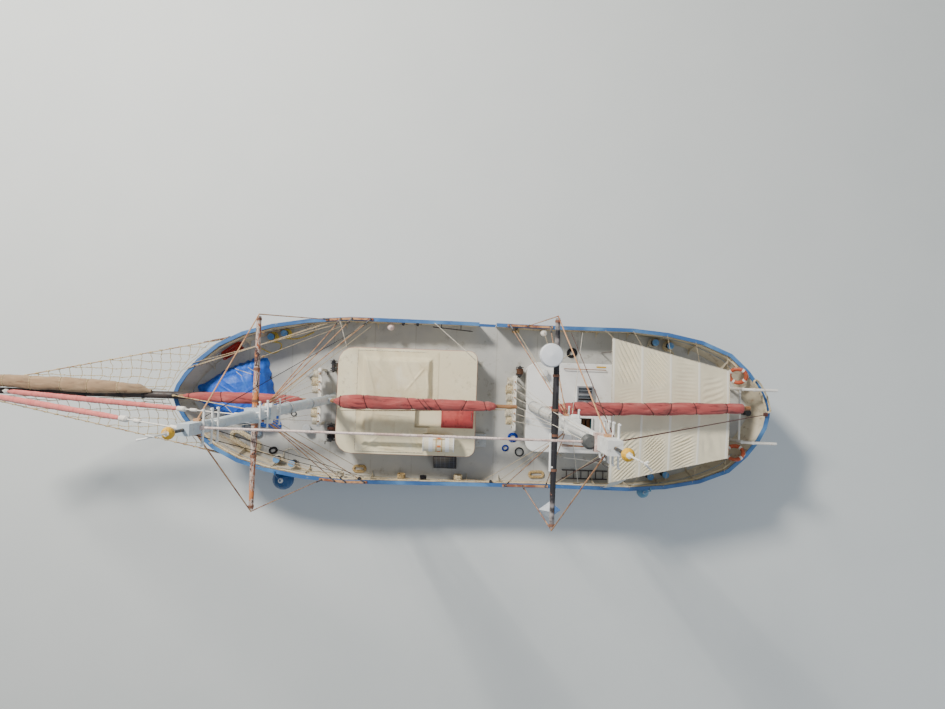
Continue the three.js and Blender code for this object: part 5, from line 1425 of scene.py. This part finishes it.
block(strip, (-4.35, -1.46, 2.708), (0.34, 0.05, 0.014), edge=0.003)
finished("house_aft_yellow_strip", strip, yellow)

# The awning over the after deck: one sheet of cream canvas pulled tight over five curved tubes
# and a ridge bar, with a sewn sleeve over each tube, a bolt rope round the edge, folds where the
# cloth is drawn across, and a flap that hangs down at its forward port corner.
POLES = (-4.64, -5.615, -6.59, -7.565, -8.54)
AWNING_ENDS = (-4.585, -8.6)
awning_canvas = Finish("awning_canvas", (238, 228, 198), 0.88, Sheen_Weight=0.15)
awning_canvas.blots((222, 212, 184), 0.44, 0.66, 0.7, 1.1, detail=6)
awning_canvas.blots((198, 184, 150), 0.6, 0.72, 0.5, 0.4, detail=9, rough=0.75)
# A paler strip along each tube: painted highlight on the ridge of its sewn sleeve.
for pole in POLES:
    off = awning_canvas.metres(0)
    off = awning_canvas.node("Math", {0: off, 1: -pole}, operation="ADD").outputs[0]
    off = awning_canvas.node("Math", {0: off}, operation="ABSOLUTE").outputs[0]
    awning_canvas.tint(awning_canvas.from_to(off, 0.03, 0.044, 0.75, 0), (246, 243, 230))
awning_canvas.lumps(0.003, 0.05, detail=4)
awning_canvas.relief(awning_canvas.stripes(0.004), 0.0004)
dress(["awning_frame"], steel)


def awning_half(x):
    """Half width of the awning at x."""
    share = (AWNING_ENDS[0] - x) / (AWNING_ENDS[0] - AWNING_ENDS[1])
    return 2.45 - 0.98 * share


# Ripples: middle x and y, half lengths, direction of the folds in degrees, pitch, height
RIPPLES = [
    (-5.05, 1.95, 0.5, 0.75, 45, 0.1, 0.015), (-5.15, 1.15, 0.55, 0.5, 42, 0.13, 0.012),
    (-6.1, 1.55, 0.5, 0.75, 43, 0.09, 0.014), (-6.00, 1.00, 0.45, 0.45, -48, 0.13, 0.01),
    (-7.05, 1.35, 0.52, 0.65, 28, 0.1, 0.013), (-7.2, 0.8, 0.45, 0.4, 20, 0.15, 0.007),
    (-8.05, 1.05, 0.35, 0.5, -66, 0.4, 0.01),
    (-5.2, -1.7, 0.46, 0.8, -63, 0.13, 0.017), (-6.1, -1.45, 0.48, 0.66, -48, 0.105, 0.014),
    (-7.05, -1.05, 0.48, 0.85, -3, 0.13, 0.0025), (-8.05, -0.75, 0.45, 0.55, 22, 0.19, 0.0055),
    (-5.2, -0.45, 0.45, 0.4, 12, 0.11, 0.002), (-6.1, -0.45, 0.45, 0.4, 10, 0.11, 0.002),
]


def awning_z(x, y):
    """Height of the cloth: over the tubes, sagging a little and drawn into folds between them."""
    bay = min(abs(x - pole) for pole in POLES)
    inner = AWNING_ENDS[1] < x < AWNING_ENDS[0]
    slack = ease(bay / 0.3) if inner else 0
    edge = ease((awning_half(x) - abs(y)) / 0.1)
    z = 3.457 - 0.07 * abs(y) - 0.022 * ease(bay / 0.48) + 0.008 * exp(-(bay / 0.03) ** 2)
    for mx, my, long, wide, turn, pitch, height in RIPPLES:
        near = max(0.0, 1 - ((x - mx) / long) ** 2) * max(0.0, 1 - ((y - my) / wide) ** 2)
        if near:
            side = radians(turn)
            across = -(x - mx) * sin(side) + (y - my) * cos(side)
            bend = 0.35 * noise.noise(Vector((x * 2, y * 2, turn)))
            wave = sin(tau * across / pitch + bend * 6)
            z += 1.7 * height * wave * min(1, near * 2.2) * slack * (0.35 + 0.65 * edge)
    return z + 0.005 * slack * noise.noise(Vector((x * 3, y * 3, 0)))


awning_shape = bmesh.new()
bmesh.ops.create_grid(awning_shape, x_segments=260, y_segments=300, size=0.5)
for vert in awning_shape.verts:
    x = AWNING_ENDS[0] + (AWNING_ENDS[1] - AWNING_ENDS[0]) * (0.5 - vert.co.x)
    y = vert.co.y * 2 * awning_half(x)
    vert.co = Vector((x, y, awning_z(x, y)))
awning_piece = finished("awning_canvas", awning_shape, awning_canvas, crease=80)
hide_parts("awning")
edge_runs = [[(x, side * (awning_half(x) + 0.006), awning_z(x, side * awning_half(x)))
              for x in [AWNING_ENDS[0] - 4.015 * n / 60 for n in range(61)]] for side in (1, -1)]
edge_runs += [[(x, y, awning_z(x, y)) for y in [awning_half(x) * (n / 20 - 1) for n in range(41)]]
              for x in AWNING_ENDS]
bolt_rope = curve("awning_bolt_rope", edge_runs, 0.012, white_rope, sides=1)

guys = []
for x, rail_x in ((-4.64, -4.55), (-5.615, -5.55), (-6.59, -6.75), (-7.565, -7.75), (-8.54, -8.85)):
    for side in (1, -1):
        y, z = rail_at(rail_x, side)
        half = awning_half(x)
        guys.append([(x, side * half, awning_z(x, side * half)), (rail_x, y - side * 0.03, z + 0.01)])
curve("awning_guys", guys, 0.006, line_beige, sides=1)

# The flap is the awning's cream cloth, coloured greyer and cooler than the awning: painted shade.
shaded_flap_finish = Finish("flap_canvas_painted_shade", (216, 216, 206), 0.88, Sheen_Weight=0.15)
shaded_flap_finish.blots((190, 196, 196), 0.45, 0.65, 0.6, 0.3, detail=7)
shaded_flap_finish.lumps(0.006, 0.12, detail=4)


def flap_place(u, v):
    """The flap: u along the awning's edge, v down to the rail."""
    top_x = -4.62 - 0.62 * u
    top = Vector((top_x, awning_half(top_x) + 0.008, awning_z(top_x, awning_half(top_x)) - 0.008))
    low = Vector((-4.6 - 0.1 * u, rail_at(-4.65, 1)[0] - 0.03, rail_at(-4.65, 1)[1] + 0.02))
    hang = top.lerp(low, v)
    hang.y += 0.05 * sin(v * pi) + 0.018 * sin(u * 19 + v * 3) * sin(v * 3.0)
    return hang


flap_piece = finished("awning_corner_flap", spread(24, 44, flap_place), shaded_flap_finish, crease=80)

# The bright blue tarpaulin over the anchor windlass: a light woven sheet thrown over the machine
# and its chains, hanging to the deck in folds and tied down with white cord across the top.
blue_sheet = Finish("blue_tarpaulin", (38, 98, 208), 0.5, Specular_IOR_Level=0.45)
blue_sheet.blots((70, 132, 228), 0.44, 0.66, 0.7, 0.5, detail=7, rough=0.65)
blue_sheet.blots((24, 60, 160), 0.57, 0.7, 0.7, 0.3, detail=8, rough=0.7, bend=0.6)
blue_sheet.blots((140, 176, 230), 0.64, 0.72, 0.4, 0.12, detail=8, rough=0.8)
blue_sheet.lumps(0.025, 0.2, detail=5, rough=0.55, bend=1.0)
blue_sheet.lumps(0.003, 0.05, detail=3)
# x, half width, height of the covered machine over the deck
LUMP = [(9.78, 0.34, 0.22), (9.43, 0.58, 0.38), (8.9, 0.92, 0.62), (8.3, 1.17, 0.81), (7.75, 1.36, 0.75),
        (7.36, 1.4, 0.42)]
# tops of the gear under the cloth: x, y, how far round it reaches, height
HUMPS = [(8.55, -0.62, 0.3, 0.05), (8.5, 0.62, 0.3, 0.05), (8.15, 0.0, 0.34, 0.045), (7.75, -0.85, 0.26, 0.04),
         (7.72, 0.7, 0.28, 0.04)]
LUMP_FOLDS = [
    (9.1, -0.72, 8.35, -0.25, 0.02, 0.03), (9.00, -0.4, 8.15, 0.1, 0.024, 0.03),
    (8.55, -0.95, 7.95, -0.35, 0.022, 0.028),
    (8.25, -1.05, 7.85, -0.1, 0.018, 0.03), (7.85, -1.25, 7.45, -0.55, 0.024, 0.03),
    (8.75, 0.8, 8.1, 0.25, 0.022, 0.03),
    (8.2, 1.05, 7.65, 0.3, 0.022, 0.03), (7.72, 1.2, 7.45, 0.4, 0.018, 0.03), (9.35, 0.1, 8.75, 0.35, 0.018, 0.03),
]


def lump_at(x):
    for near, far in zip(LUMP, LUMP[1:]):
        if x >= far[0] - 1e-6:
            share = max(0.0, (near[0] - x) / (near[0] - far[0]))
            return [near[n] + (far[n] - near[n]) * share for n in (1, 2)]
    return LUMP[-1][1:]


def cover_point(u, v):
    """The tarpaulin over the windlass: u along from the bow, v across from starboard to port."""
    x = LUMP[0][0] + (LUMP[-1][0] - LUMP[0][0]) * u
    half, high = lump_at(x)
    deck_z = top_of(deck_plate, x, 0.0)
    side = abs(v - 0.5) * 2
    outline = ((0.0, 1.0), (0.4, 0.985), (0.62, 0.86), (0.85, 0.56), (0.955, 0.2), (1.0, 0.012))
    for (fa, ha), (fb, hb) in zip(outline, outline[1:]):
        if side <= fb + 1e-9:
            part = (side - fa) / (fb - fa)
            lift = ha + (hb - ha) * part
            break
    across = copysign(side, v - 0.5)
    flute = sin(u * 64 + 4 * noise.noise(Vector((u * 6, across, 2)))) * ease((side - 0.55) / 0.35)
    out = half * (1 + 0.02 * flute) * across * (1 - 0.15 * max(0, across))
    z = deck_z + high * lift
    for hx, hy, wide, tall in HUMPS:
        z += tall * exp(-((x - hx) ** 2 + (out - hy) ** 2) / (wide * wide)) * lift
    z += crease_height(x, out, LUMP_FOLDS) * min(1, lift * 2)
    z += 0.022 * noise.noise(Vector((x * 3.2, out * 3.2, 5))) * min(1, lift * 2)
    out += 0.012 * noise.noise(Vector((x * 6, v * 9, 1)))
    # the after edge is drawn forward on the starboard side
    x += 0.1 * u - 0.3 * u * across
    return Vector((x, out, z + 0.004))


cover_shape = spread(130, 150, lambda u, v: cover_point(1 - u, v))
# the two ends hang down to the deck
rims = [(e, e.verts[0].co, e.verts[1].co) for e in cover_shape.edges if e.is_boundary]
rims = [(e, a.x) for e, a, b in rims if abs(a.x - b.x) < abs(a.y - b.y) * 1.2]
fore_rim = max(v.co.x for v in cover_shape.verts) - 0.05
ends = [e for e, x in rims if x > fore_rim], [e for e, x in rims if x < 7.75]
for forward, edges in zip((True, False), ends):
    lowered = bmesh.ops.extrude_edge_only(cover_shape, edges=edges)["geom"]
    for vert in [g for g in lowered if isinstance(g, bmesh.types.BMVert)]:
        x, y = vert.co.x, vert.co.y
        foot_x = x + (0.14 if forward else -0.15) + 0.025 * sin(y * 17)
        foot_y = y * (0.9 if forward else 1.0)
        vert.co = Vector((foot_x, foot_y, top_of(deck_plate, foot_x, foot_y * 0.8) + 0.012))
bmesh.ops.subdivide_edges(cover_shape, edges=[e for e in cover_shape.edges if e.calc_length() > 0.12], cuts=6)
cover_piece = finished("windlass_tarpaulin_sheet", cover_shape, blue_sheet, crease=60)
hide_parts("windlass_tarpaulin")
cover_tree = BVHTree.FromPolygons([v.co for v in cover_piece.data.vertices],
                                  [p.vertices for p in cover_piece.data.polygons])
cord_runs = []
for xa, ya, xb, yb in ((8.6, -0.96, 7.95, -0.78), (8.52, -0.86, 8.27, -0.7), (8.14, -1.02, 7.74, -0.8),
                       (8.86, 0.3, 8.52, 0.66)):
    places = [(xa + (xb - xa) * n / 24, ya + (yb - ya) * n / 24) for n in range(25)]
    cord_runs.append([(x, y, top_of(cover_tree, x, y) + 0.012) for x, y in places])
cover_cords = curve("windlass_tarpaulin_cords", cord_runs, 0.012, white_rope, sides=1)

# The fife rails at the masts with their turned wooden pins, and the winches bolted down beside
# them: white-painted steel rails, black warping winches, one with a drum of brown rope.
fife_paint = painted("fife_paint", (238, 234, 222), (248, 246, 240), (176, 150, 112), 0.5, size=0.3)
dress(["fife_rail_fore", "fife_rail_main"], fife_paint)
pin_wood = painted("pin_wood", (176, 128, 84), (206, 164, 116), (110, 74, 50), 0.55, size=0.1)
pins = bmesh.new()
PIN_ROWS = [(5.53, (-0.88, -0.6, -0.32, -0.04, 0.24, 0.52, 0.8)), (-1.4, (-0.84, -0.56, -0.28, 0.0, 0.28, 0.56))]
for x, sides in PIN_ROWS:
    for y in sides:
        turned(pins, [(0.0185, 2.215), (0.03, 2.22), (0.031, 2.245), (0.022, 2.27), (0.0195, 2.325), (0.026, 2.345),
                      (0.024, 2.372), (0, 2.382)], (x, y, 0), steps=14)
        turned(pins, [(0.0185, 1.95), (0.021, 1.945), (0.019, 1.915), (0, 1.908)], (x, y, 0), steps=14)
finished("fife_pins", pins, pin_wood)

winch_black = painted("winch_black", (40, 42, 46), (66, 68, 72), (112, 72, 52), 0.5, size=0.25)
dress(["winch_fore_port", "winch_fore_starboard", "winch_main"], winch_black)
brown_drum = rope_finish("brown_drum", (124, 92, 74), (82, 58, 46))
# foot x, y, half length along the ship's breadth
WINCHES = [(5.15, 1.21, 0.3), (5.15, -1.18, 0.19), (-1.59, -1.21, 0.17)]
AXLE_Z = 1.77
winch_parts = bmesh.new()
for x, y, half in WINCHES:
    for side in (1, -1):
        turned(winch_parts, [(0, 0), (0.055, 0), (0.055, 0.02), (0.028, 0.026), (0.028, 0.05), (0, 0.052)],
               (x, y + side * (half - 0.004), AXLE_Z), (0, side, 0), 18)
    rod(winch_parts, (x, y + half + 0.035, AXLE_Z), (x + 0.2, y + half + 0.035, AXLE_Z), 0.013)
    rod(winch_parts, (x + 0.2, y + half + 0.02, AXLE_Z), (x + 0.2, y + half + 0.14, AXLE_Z), 0.017)
    for dy, dx in product((-half * 0.8, half * 0.8), (0.1, -0.1)):
        foot = top_of(deck_plate, x + dx * 2, y + dy, 1.6)
        rod(winch_parts, (x + dx, y + dy, foot + 0.005), (x + dx, y + dy, foot + 0.05), 0.013, sides=6)
finished("winch_fittings", winch_parts, winch_black)
for x, y, wide, radius, turns, name, colour in (
        (-1.59, -1.21, 0.2, 0.115, 12, "winch_main_turns", brown_drum),
        (5.15, 1.075, 0.1, 0.128, 6, "winch_fore_turns_inner", line_brown),
        (5.15, 1.345, 0.1, 0.128, 6, "winch_fore_turns_outer", black_rope)):
    wrap = [(x + radius * cos(n / 20 * tau), y - wide / 2 + wide * n / (turns * 20),
             AXLE_Z + radius * sin(n / 20 * tau)) for n in range(turns * 20 + 1)]
    rope(name, wrap, wide / turns * 0.94, colour, sides=1)

# Steering gear under the awning: a cast stand with a compass on top and a wooden spoked wheel
# rimmed in brass, which turns on the stand's shaft.
stand_paint = painted("stand_paint", (236, 232, 220), (246, 244, 238), (172, 150, 116), 0.5, size=0.3)
dress(["steering_stand"], stand_paint)
wheel_wood = painted("wheel_teak", (148, 92, 54), (178, 122, 78), (88, 50, 32), 0.35, size=0.2, Coat_Weight=0.4)
dress(["steering_wheel"], wheel_wood)
brass = Finish("brass", (196, 156, 78), 0.35, Metallic=0.9)
brass.blots((120, 96, 58), 0.5, 0.65, 0.7, 0.05, detail=8)
brass.dull(0.04, 0.25, 0.5)
wheel_trim, compass = bmesh.new(), bmesh.new()
wheel_face = (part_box("steering_wheel")[0].x - 0.001, 0, 2.32)
turned(wheel_trim, [(0.4, 0.0), (0.43, 0.0), (0.43, 0.006), (0.4, 0.006)], wheel_face, (-1, 0, 0), 60)
turned(wheel_trim, [(0, 0), (0.085, 0), (0.085, 0.012), (0.05, 0.022), (0, 0.026)], wheel_face, (-1, 0, 0), 28)
finished("steering_wheel_brass", wheel_trim, brass, "steering_wheel")
COMPASS = (-7.13, 0, 0)
turned(compass, [(0.115, 2.4), (0.125, 2.42), (0.125, 2.455), (0.105, 2.465), (0.1, 2.452)], COMPASS, steps=32)
turned(compass, [(0.035, 2.3), (0.06, 2.3), (0.06, 2.33)], COMPASS, steps=20)
finished("compass_ring", compass, brass)
compass_glass = bmesh.new()
turned(compass_glass, [(0.101, 2.451), (0.085, 2.475), (0.05, 2.492), (0, 2.498)], COMPASS, steps=28)
finished("compass_glass", compass_glass, glass)

# Over the stern: tube davits with sheaves and falls, two life rings that lean on the rail in
# their racks, a small black capstan, and ball fenders of soft plastic hung over the port side.
davit_paint = painted("davit_paint", (236, 232, 222), (246, 244, 238), (186, 140, 96), 0.5, size=0.3)
rusty(davit_paint, stretch=(2, 2, 2), low=0.62, high=0.72, colour=(170, 110, 66))
dress(["stern_davits"], davit_paint)
davit_blocks, falls = bmesh.new(), []
for y in (-0.86, 0.98):
    for x in (-10.4, -10.28):
        turned(davit_blocks, [(0, 0), (0.055, 0), (0.058, 0.008), (0.04, 0.018), (0.04, 0.028), (0.058, 0.038),
                              (0.055, 0.046), (0, 0.046)],
               (x, y - 0.023, 2.885 if x < -10.3 else 2.9), (0, 1, 0), 18)
    block(davit_blocks, (-10.34, y, 2.9), (0.2, 0.075, 0.05))
    rod(davit_blocks, (-10.34, y, 2.925), (-10.34, y, 2.99), 0.014, sides=8)
    falls.append([(-10.36, y + 0.02, 2.84), (-9.6, y + 0.03, 2.66), (-9.36, y + 0.055, 2.1)])
    falls.append([(-10.32, y - 0.02, 2.84), (-9.56, y - 0.03, 2.6), (-9.36, y - 0.055, 2.00)])
finished("davit_blocks", davit_blocks, black_iron)
curve("davit_falls", falls, 0.01, line_white, sides=1)

ring_orange = painted("ring_orange", (196, 88, 56), (212, 118, 80), (130, 60, 42), 0.55, size=0.2)
ring_white = painted("ring_white", (240, 236, 226), (248, 246, 240), (196, 180, 154), 0.6, size=0.2)
rings_orange, rings_white, grab_lines = bmesh.new(), bmesh.new(), []
# middle, which way the ring faces
LIFE_RINGS = [((-9.3, -1.33, 2.36), (0.4, 0.52, 0.76)), ((-9.25, 1.4, 2.36), (0.36, -0.58, 0.73))]
for middle, facing in LIFE_RINGS:
    facing = Vector(facing).normalized()
    across = facing.cross(Vector((0, 0, 1))).normalized()
    upward = across.cross(facing).normalized() * -1
    for number in range(48):
        a, b = number / 48 * tau, (number + 1) / 48 * tau
        start = Vector(middle) + (across * cos(a) + upward * sin(a)) * 0.28
        end = Vector(middle) + (across * cos(b) + upward * sin(b)) * 0.28
        white = number % 12 in (0, 1)
        rod(rings_white if white else rings_orange, start.lerp(end, -0.06), start.lerp(end, 1.06),
            0.072 if white else 0.068, sides=14)
    loop = []
    for number in range(97):
        a = number / 96 * tau
        drop = 0.363 - 0.035 * abs(cos(2 * a))
        loop.append(tuple(Vector(middle) + (across * cos(a) + upward * sin(a)) * drop + facing * 0.02))
    grab_lines.append(loop)
finished("life_rings", rings_orange, ring_orange, crease=60)
finished("life_ring_bands", rings_white, ring_white, crease=60)
curve("life_ring_grab_lines", grab_lines, 0.007, white_rope, closed=True, sides=1)

CAPSTAN_X, CAPSTAN_Y = -9.85, -0.01
capstan = bmesh.new()
turned(capstan, [(0, 2.02), (0.115, 2.02), (0.12, 2.00), (0.075, 1.96), (0.065, 1.88), (0.085, 1.8), (0.1, 1.79),
                 (0.1, 1.52)],
       (CAPSTAN_X, CAPSTAN_Y, 0), steps=28)
for angle in range(0, 360, 60):
    x, y = CAPSTAN_X + 0.085 * cos(radians(angle)), CAPSTAN_Y + 0.085 * sin(radians(angle))
    block(capstan, (x, y, 2.024), (0.024, 0.024, 0.012), turn=radians(angle), edge=0.002)
finished("stern_capstan", capstan, winch_black)

fender_dark = painted("fender_dark_blue", (36, 88, 138), (60, 116, 166), (22, 54, 88), 0.35, size=0.5)
fender_dark.blots((150, 160, 150), 0.6, 0.68, 0.5, 0.06, detail=9)
dress(["fender_fore"], fender_dark)
dress(["fender_aft"], painted("fender_pale_blue", (92, 146, 176), (132, 178, 200), (52, 86, 104), 0.35, size=0.4))
fender_ends = bmesh.new()
for x, y, z, r in ((6.9, 3.015, 1.35, 0.39), (-6.3, 3.05, 1.35, 0.225)):
    turned(fender_ends, [(r * 0.24, z + r * 0.968), (r * 0.22, z + r + 0.03), (r * 0.12, z + r + 0.055),
                         (0, z + r + 0.06)], (x, y, 0), steps=20)
    turned(fender_ends, [(0, z - r - 0.05), (r * 0.12, z - r - 0.045), (r * 0.22, z - r - 0.02),
                         (r * 0.24, z - r * 0.968)], (x, y, 0), steps=20)
finished("fender_eyes", fender_ends, ring_white)

# Along the bulwarks: iron horn cleats with line tails hung on them, tarred blocks, small floats,
# a long boathook shaft, a stowed boarding ladder, a bent handrail, a cable that runs to the
# forward house's roof, and a hank of red mooring line hung inside the bow.
CLEATS = [(x, 1) for x in (4.75, 3.85, 3.5, 3.2, 2.56, 1.77, 0.52, -0.35, -0.95, -2.9, -3.75, -5.6)]
CLEATS += [(x, -1) for x in (5.9, 4.7, 3.88, 2.66, 2.15, -1.39, -3.3, -3.75, -5.6)]
CLEAT_DROP = 0.26
cleats = bmesh.new()
for x, side in CLEATS:
    z = rail_height(x) - CLEAT_DROP
    y = inner_face(x, z, side)
    block(cleats, (x, y - side * 0.035, z), (0.07, 0.06, 0.07))
    rod(cleats, (x - 0.14, y - side * 0.075, z + 0.01), (x, y - side * 0.062, z), 0.01, 0.018, sides=8)
    rod(cleats, (x, y - side * 0.062, z), (x + 0.14, y - side * 0.075, z + 0.01), 0.018, 0.01, sides=8)
finished("bulwark_cleats", cleats, black_iron)

# cord, x, side, half drop, half width, thickness, turns
CLEAT_COILS = [
    ("cleat_coil_port_1", white_rope, 4.75, 1, 0.22, 0.12, 0.022, 6),
    ("cleat_coil_port_2", tan_rope, 2.56, 1, 0.24, 0.13, 0.024, 6),
    ("cleat_coil_port_3", beige_rope, 0.52, 1, 0.22, 0.14, 0.026, 6),
    ("cleat_coil_port_4", black_rope, 1.77, 1, 0.16, 0.11, 0.022, 5),
    ("cleat_coil_starboard_1", white_rope, 5.9, -1, 0.22, 0.12, 0.022, 5),
    ("cleat_coil_starboard_2", tan_rope, -1.39, -1, 0.2, 0.12, 0.024, 5),
]
for name, finish, x, side, drop, wide, thick, turns in CLEAT_COILS:
    z = rail_height(x) - CLEAT_DROP
    y = inner_face(x, z, side)
    middle = (x, y - side * 0.062, z + 0.03 - drop)
    run = against(hank(drop, wide, thick, turns, x), middle, (0, 0, 1), (-side, 0, 0))
    start = [(x + side * 0.17, y - side * 0.015, z + 0.02), (x + side * 0.09, y - side * 0.045, z + 0.035)]
    rope(name, through(start + [run[0]], 6)[:-1] + run, thick, finish)

red_rope = rope_finish("red_rope", (190, 66, 52), (110, 30, 34))


def bow_face(x, z):
    """A place on the starboard bulwark's inner face."""
    return Vector((x, inner_face(x, z, -1), z))


red_along = (bow_face(8.42, 2.22) - bow_face(9.1, 2.22)).normalized()
red_up = (bow_face(8.76, 2.34) - bow_face(8.76, 2.1)).normalized()
red_off = red_along.cross(red_up)
red_middle = (bow_face(8.42, 2.22) + bow_face(9.1, 2.22)) / 2 + red_off * 0.03
red_run = against(hank(0.38, 0.115, 0.045, 5, 3.1), red_middle, red_along, red_up)
red_low = Vector(red_run[0]) - red_up * 0.15
red_lead = [tuple(bow_face(red_low.x, red_low.z) + red_off * 0.03), tuple(Vector(red_run[0]) - red_up * 0.07)]
rope("red_mooring_hank", red_lead + red_run, 0.045, red_rope)

floats_white, floats_pink = bmesh.new(), bmesh.new()
for shape, x, y, z, r in ((floats_pink, 3.11, -2.64, 2.02, 0.125), (floats_white, -2.38, -2.62, 2.04, 0.12)):
    bmesh.ops.create_uvsphere(shape, u_segments=32, v_segments=20, radius=r, matrix=Matrix.Translation((x, y, z)))
    turned(shape, [(0.03, z + r * 0.95), (0.03, z + r + 0.035), (0, z + r + 0.04)], (x, y, 0), steps=14)
float_pink = painted("float_pink", (232, 204, 198), (244, 232, 228), (200, 140, 128), 0.4, size=0.1)
finished("side_float_fore", floats_pink, float_pink)
finished("side_float_aft", floats_white, ring_white)
side_blocks = bmesh.new()
for x, side in ((2.66, -1), (2.15, -1), (-1.39, -1), (4.0, 1), (-0.65, 1)):
    z = rail_height(x) - 0.08
    y = inner_face(x, z - 0.05, side) - side * 0.07
    turned(side_blocks, [(0, -0.045), (0.055, -0.042), (0.075, -0.02), (0.075, 0.02), (0.055, 0.042), (0, 0.045)],
           (x, y, z), (1, 0, 0), 20)
    block(side_blocks, (x, y, z), (0.1, 0.05, 0.16), edge=0.012)
finished("bulwark_blocks", side_blocks, black_iron)

shaft = bmesh.new()
rod(shaft, (1.6, -2.7, 2.1), (0.3, -2.6, 2.02), 0.021)
rod(shaft, (0.3, -2.6, 2.02), (0.16, -2.585, 2.01), 0.028, 0.01)
for x in (1.3, 0.6):
    y = -2.7 + (1.6 - x) * 0.077
    rod(shaft, (x, y, 2.08 - (1.6 - x) * 0.06), (x, -2.8, 2.06), 0.014, sides=8)
finished("boathook_shaft", shaft, black_iron)

ladder_wood = painted("ladder_wood", (66, 62, 66), (98, 92, 92), (40, 36, 38), 0.75, size=0.2)
ladder_parts = bmesh.new()
LADDER_X = (-3.3, -4.96)
ladder_z = sum(top_of(deck_plate, x, 2.3) + 0.05 for x in LADDER_X) / 2
for y in (2.65, 2.35):
    block(ladder_parts, (sum(LADDER_X) / 2, y, ladder_z), (LADDER_X[0] - LADDER_X[1], 0.035, 0.085))
for number in range(6):
    x = -3.46 - number * 0.27
    rod(ladder_parts, (x, 2.655, 1.36), (x, 2.355, 1.36), 0.017, sides=8)
finished("boarding_ladder", ladder_parts, ladder_wood)
bent_rail = through([(-3.22, 1.8, 1.99), (-3.3, 1.81, 2.05), (-3.9, 1.86, 2.06), (-4.5, 1.96, 2.06),
                     (-4.84, 2.06, 2.05), (-4.92, 2.1, 1.99)], 10)
legs = [[(-3.22, 1.8, 1.99), (-3.22, 1.8, 1.3)], [(-4.92, 2.1, 1.99), (-4.92, 2.1, 1.3)],
        [(-4.1, 1.885, 2.05), (-4.1, 1.885, 1.3)]]
curve("bent_handrail", [bent_rail] + legs, 0.022, davit_paint)

side_y, side_z = rail_at(1.54, -1)
curve("roof_cable", [[(1.54, side_y + 0.04, side_z + 0.03), (0.1, -1.62, 2.38)],
                     [(4.88, rail_at(4.88, -1)[0] + 0.05, 2.36), (4.62, -1.88, 2.27)]], 0.013, line_white, sides=2)

# Tails of line led along the inside of both bulwarks, tight against the stringers
tails = []
for side, spans in ((1, ((9.2, 5.9), (4.4, 1.9), (1.5, -3.0))), (-1, ((9.6, 5.3), (4.4, 2.9), (-1.0, -4.4)))):
    for start, stop in spans:
        for drop, off in ((0.1, 0.05), (0.2, 0.085)):
            run = []
            for step in range(25):
                x = start + (stop - start) * step / 24
                z = rail_height(x) - drop - 0.03 * sin(step * 0.9 + off * 90)
                y = inner_face(x, z, side)
                if y:
                    run.append((x, y - side * (off + 0.01 * sin(step)), z))
            tails.append(run)
curve("bulwark_lines", tails, 0.011, line_beige, sides=1)

# Lines on the fore boom: the lacing lines that lie along the furled sail
curve("fore_boom_lines", [through([(4.55, 0.3, 3.44), (3.2, 0.27, 3.34), (1.6, 0.2, 3.3), (0.3, 0.14, 3.3),
                                   (-1.0, 0.1, 3.3)], 8),
                          through([(4.62, 0.2, 3.55), (3.6, 0.27, 3.42), (2.0, 0.24, 3.3), (0.2, 0.16, 3.24),
                                   (-0.9, 0.12, 3.22)], 8)],
      0.011, line_beige, "fore_boom", sides=1)
rail_tops = bmesh.new()
turned(rail_tops, [(0.0, 2.44), (0.055, 2.44), (0.075, 2.41), (0.075, 2.34), (0.05, 2.3), (0.03, 2.3)],
       (5.5, -1.02, 0), steps=20)
for y in (-0.98, 0.93):
    turned(rail_tops, [(0.03, 2.18), (0.055, 2.185), (0.06, 2.235), (0.035, 2.27), (0, 2.275)], (5.53, y, 0),
           steps=18)
finished("fife_rail_caps", rail_tops, fresh_white)
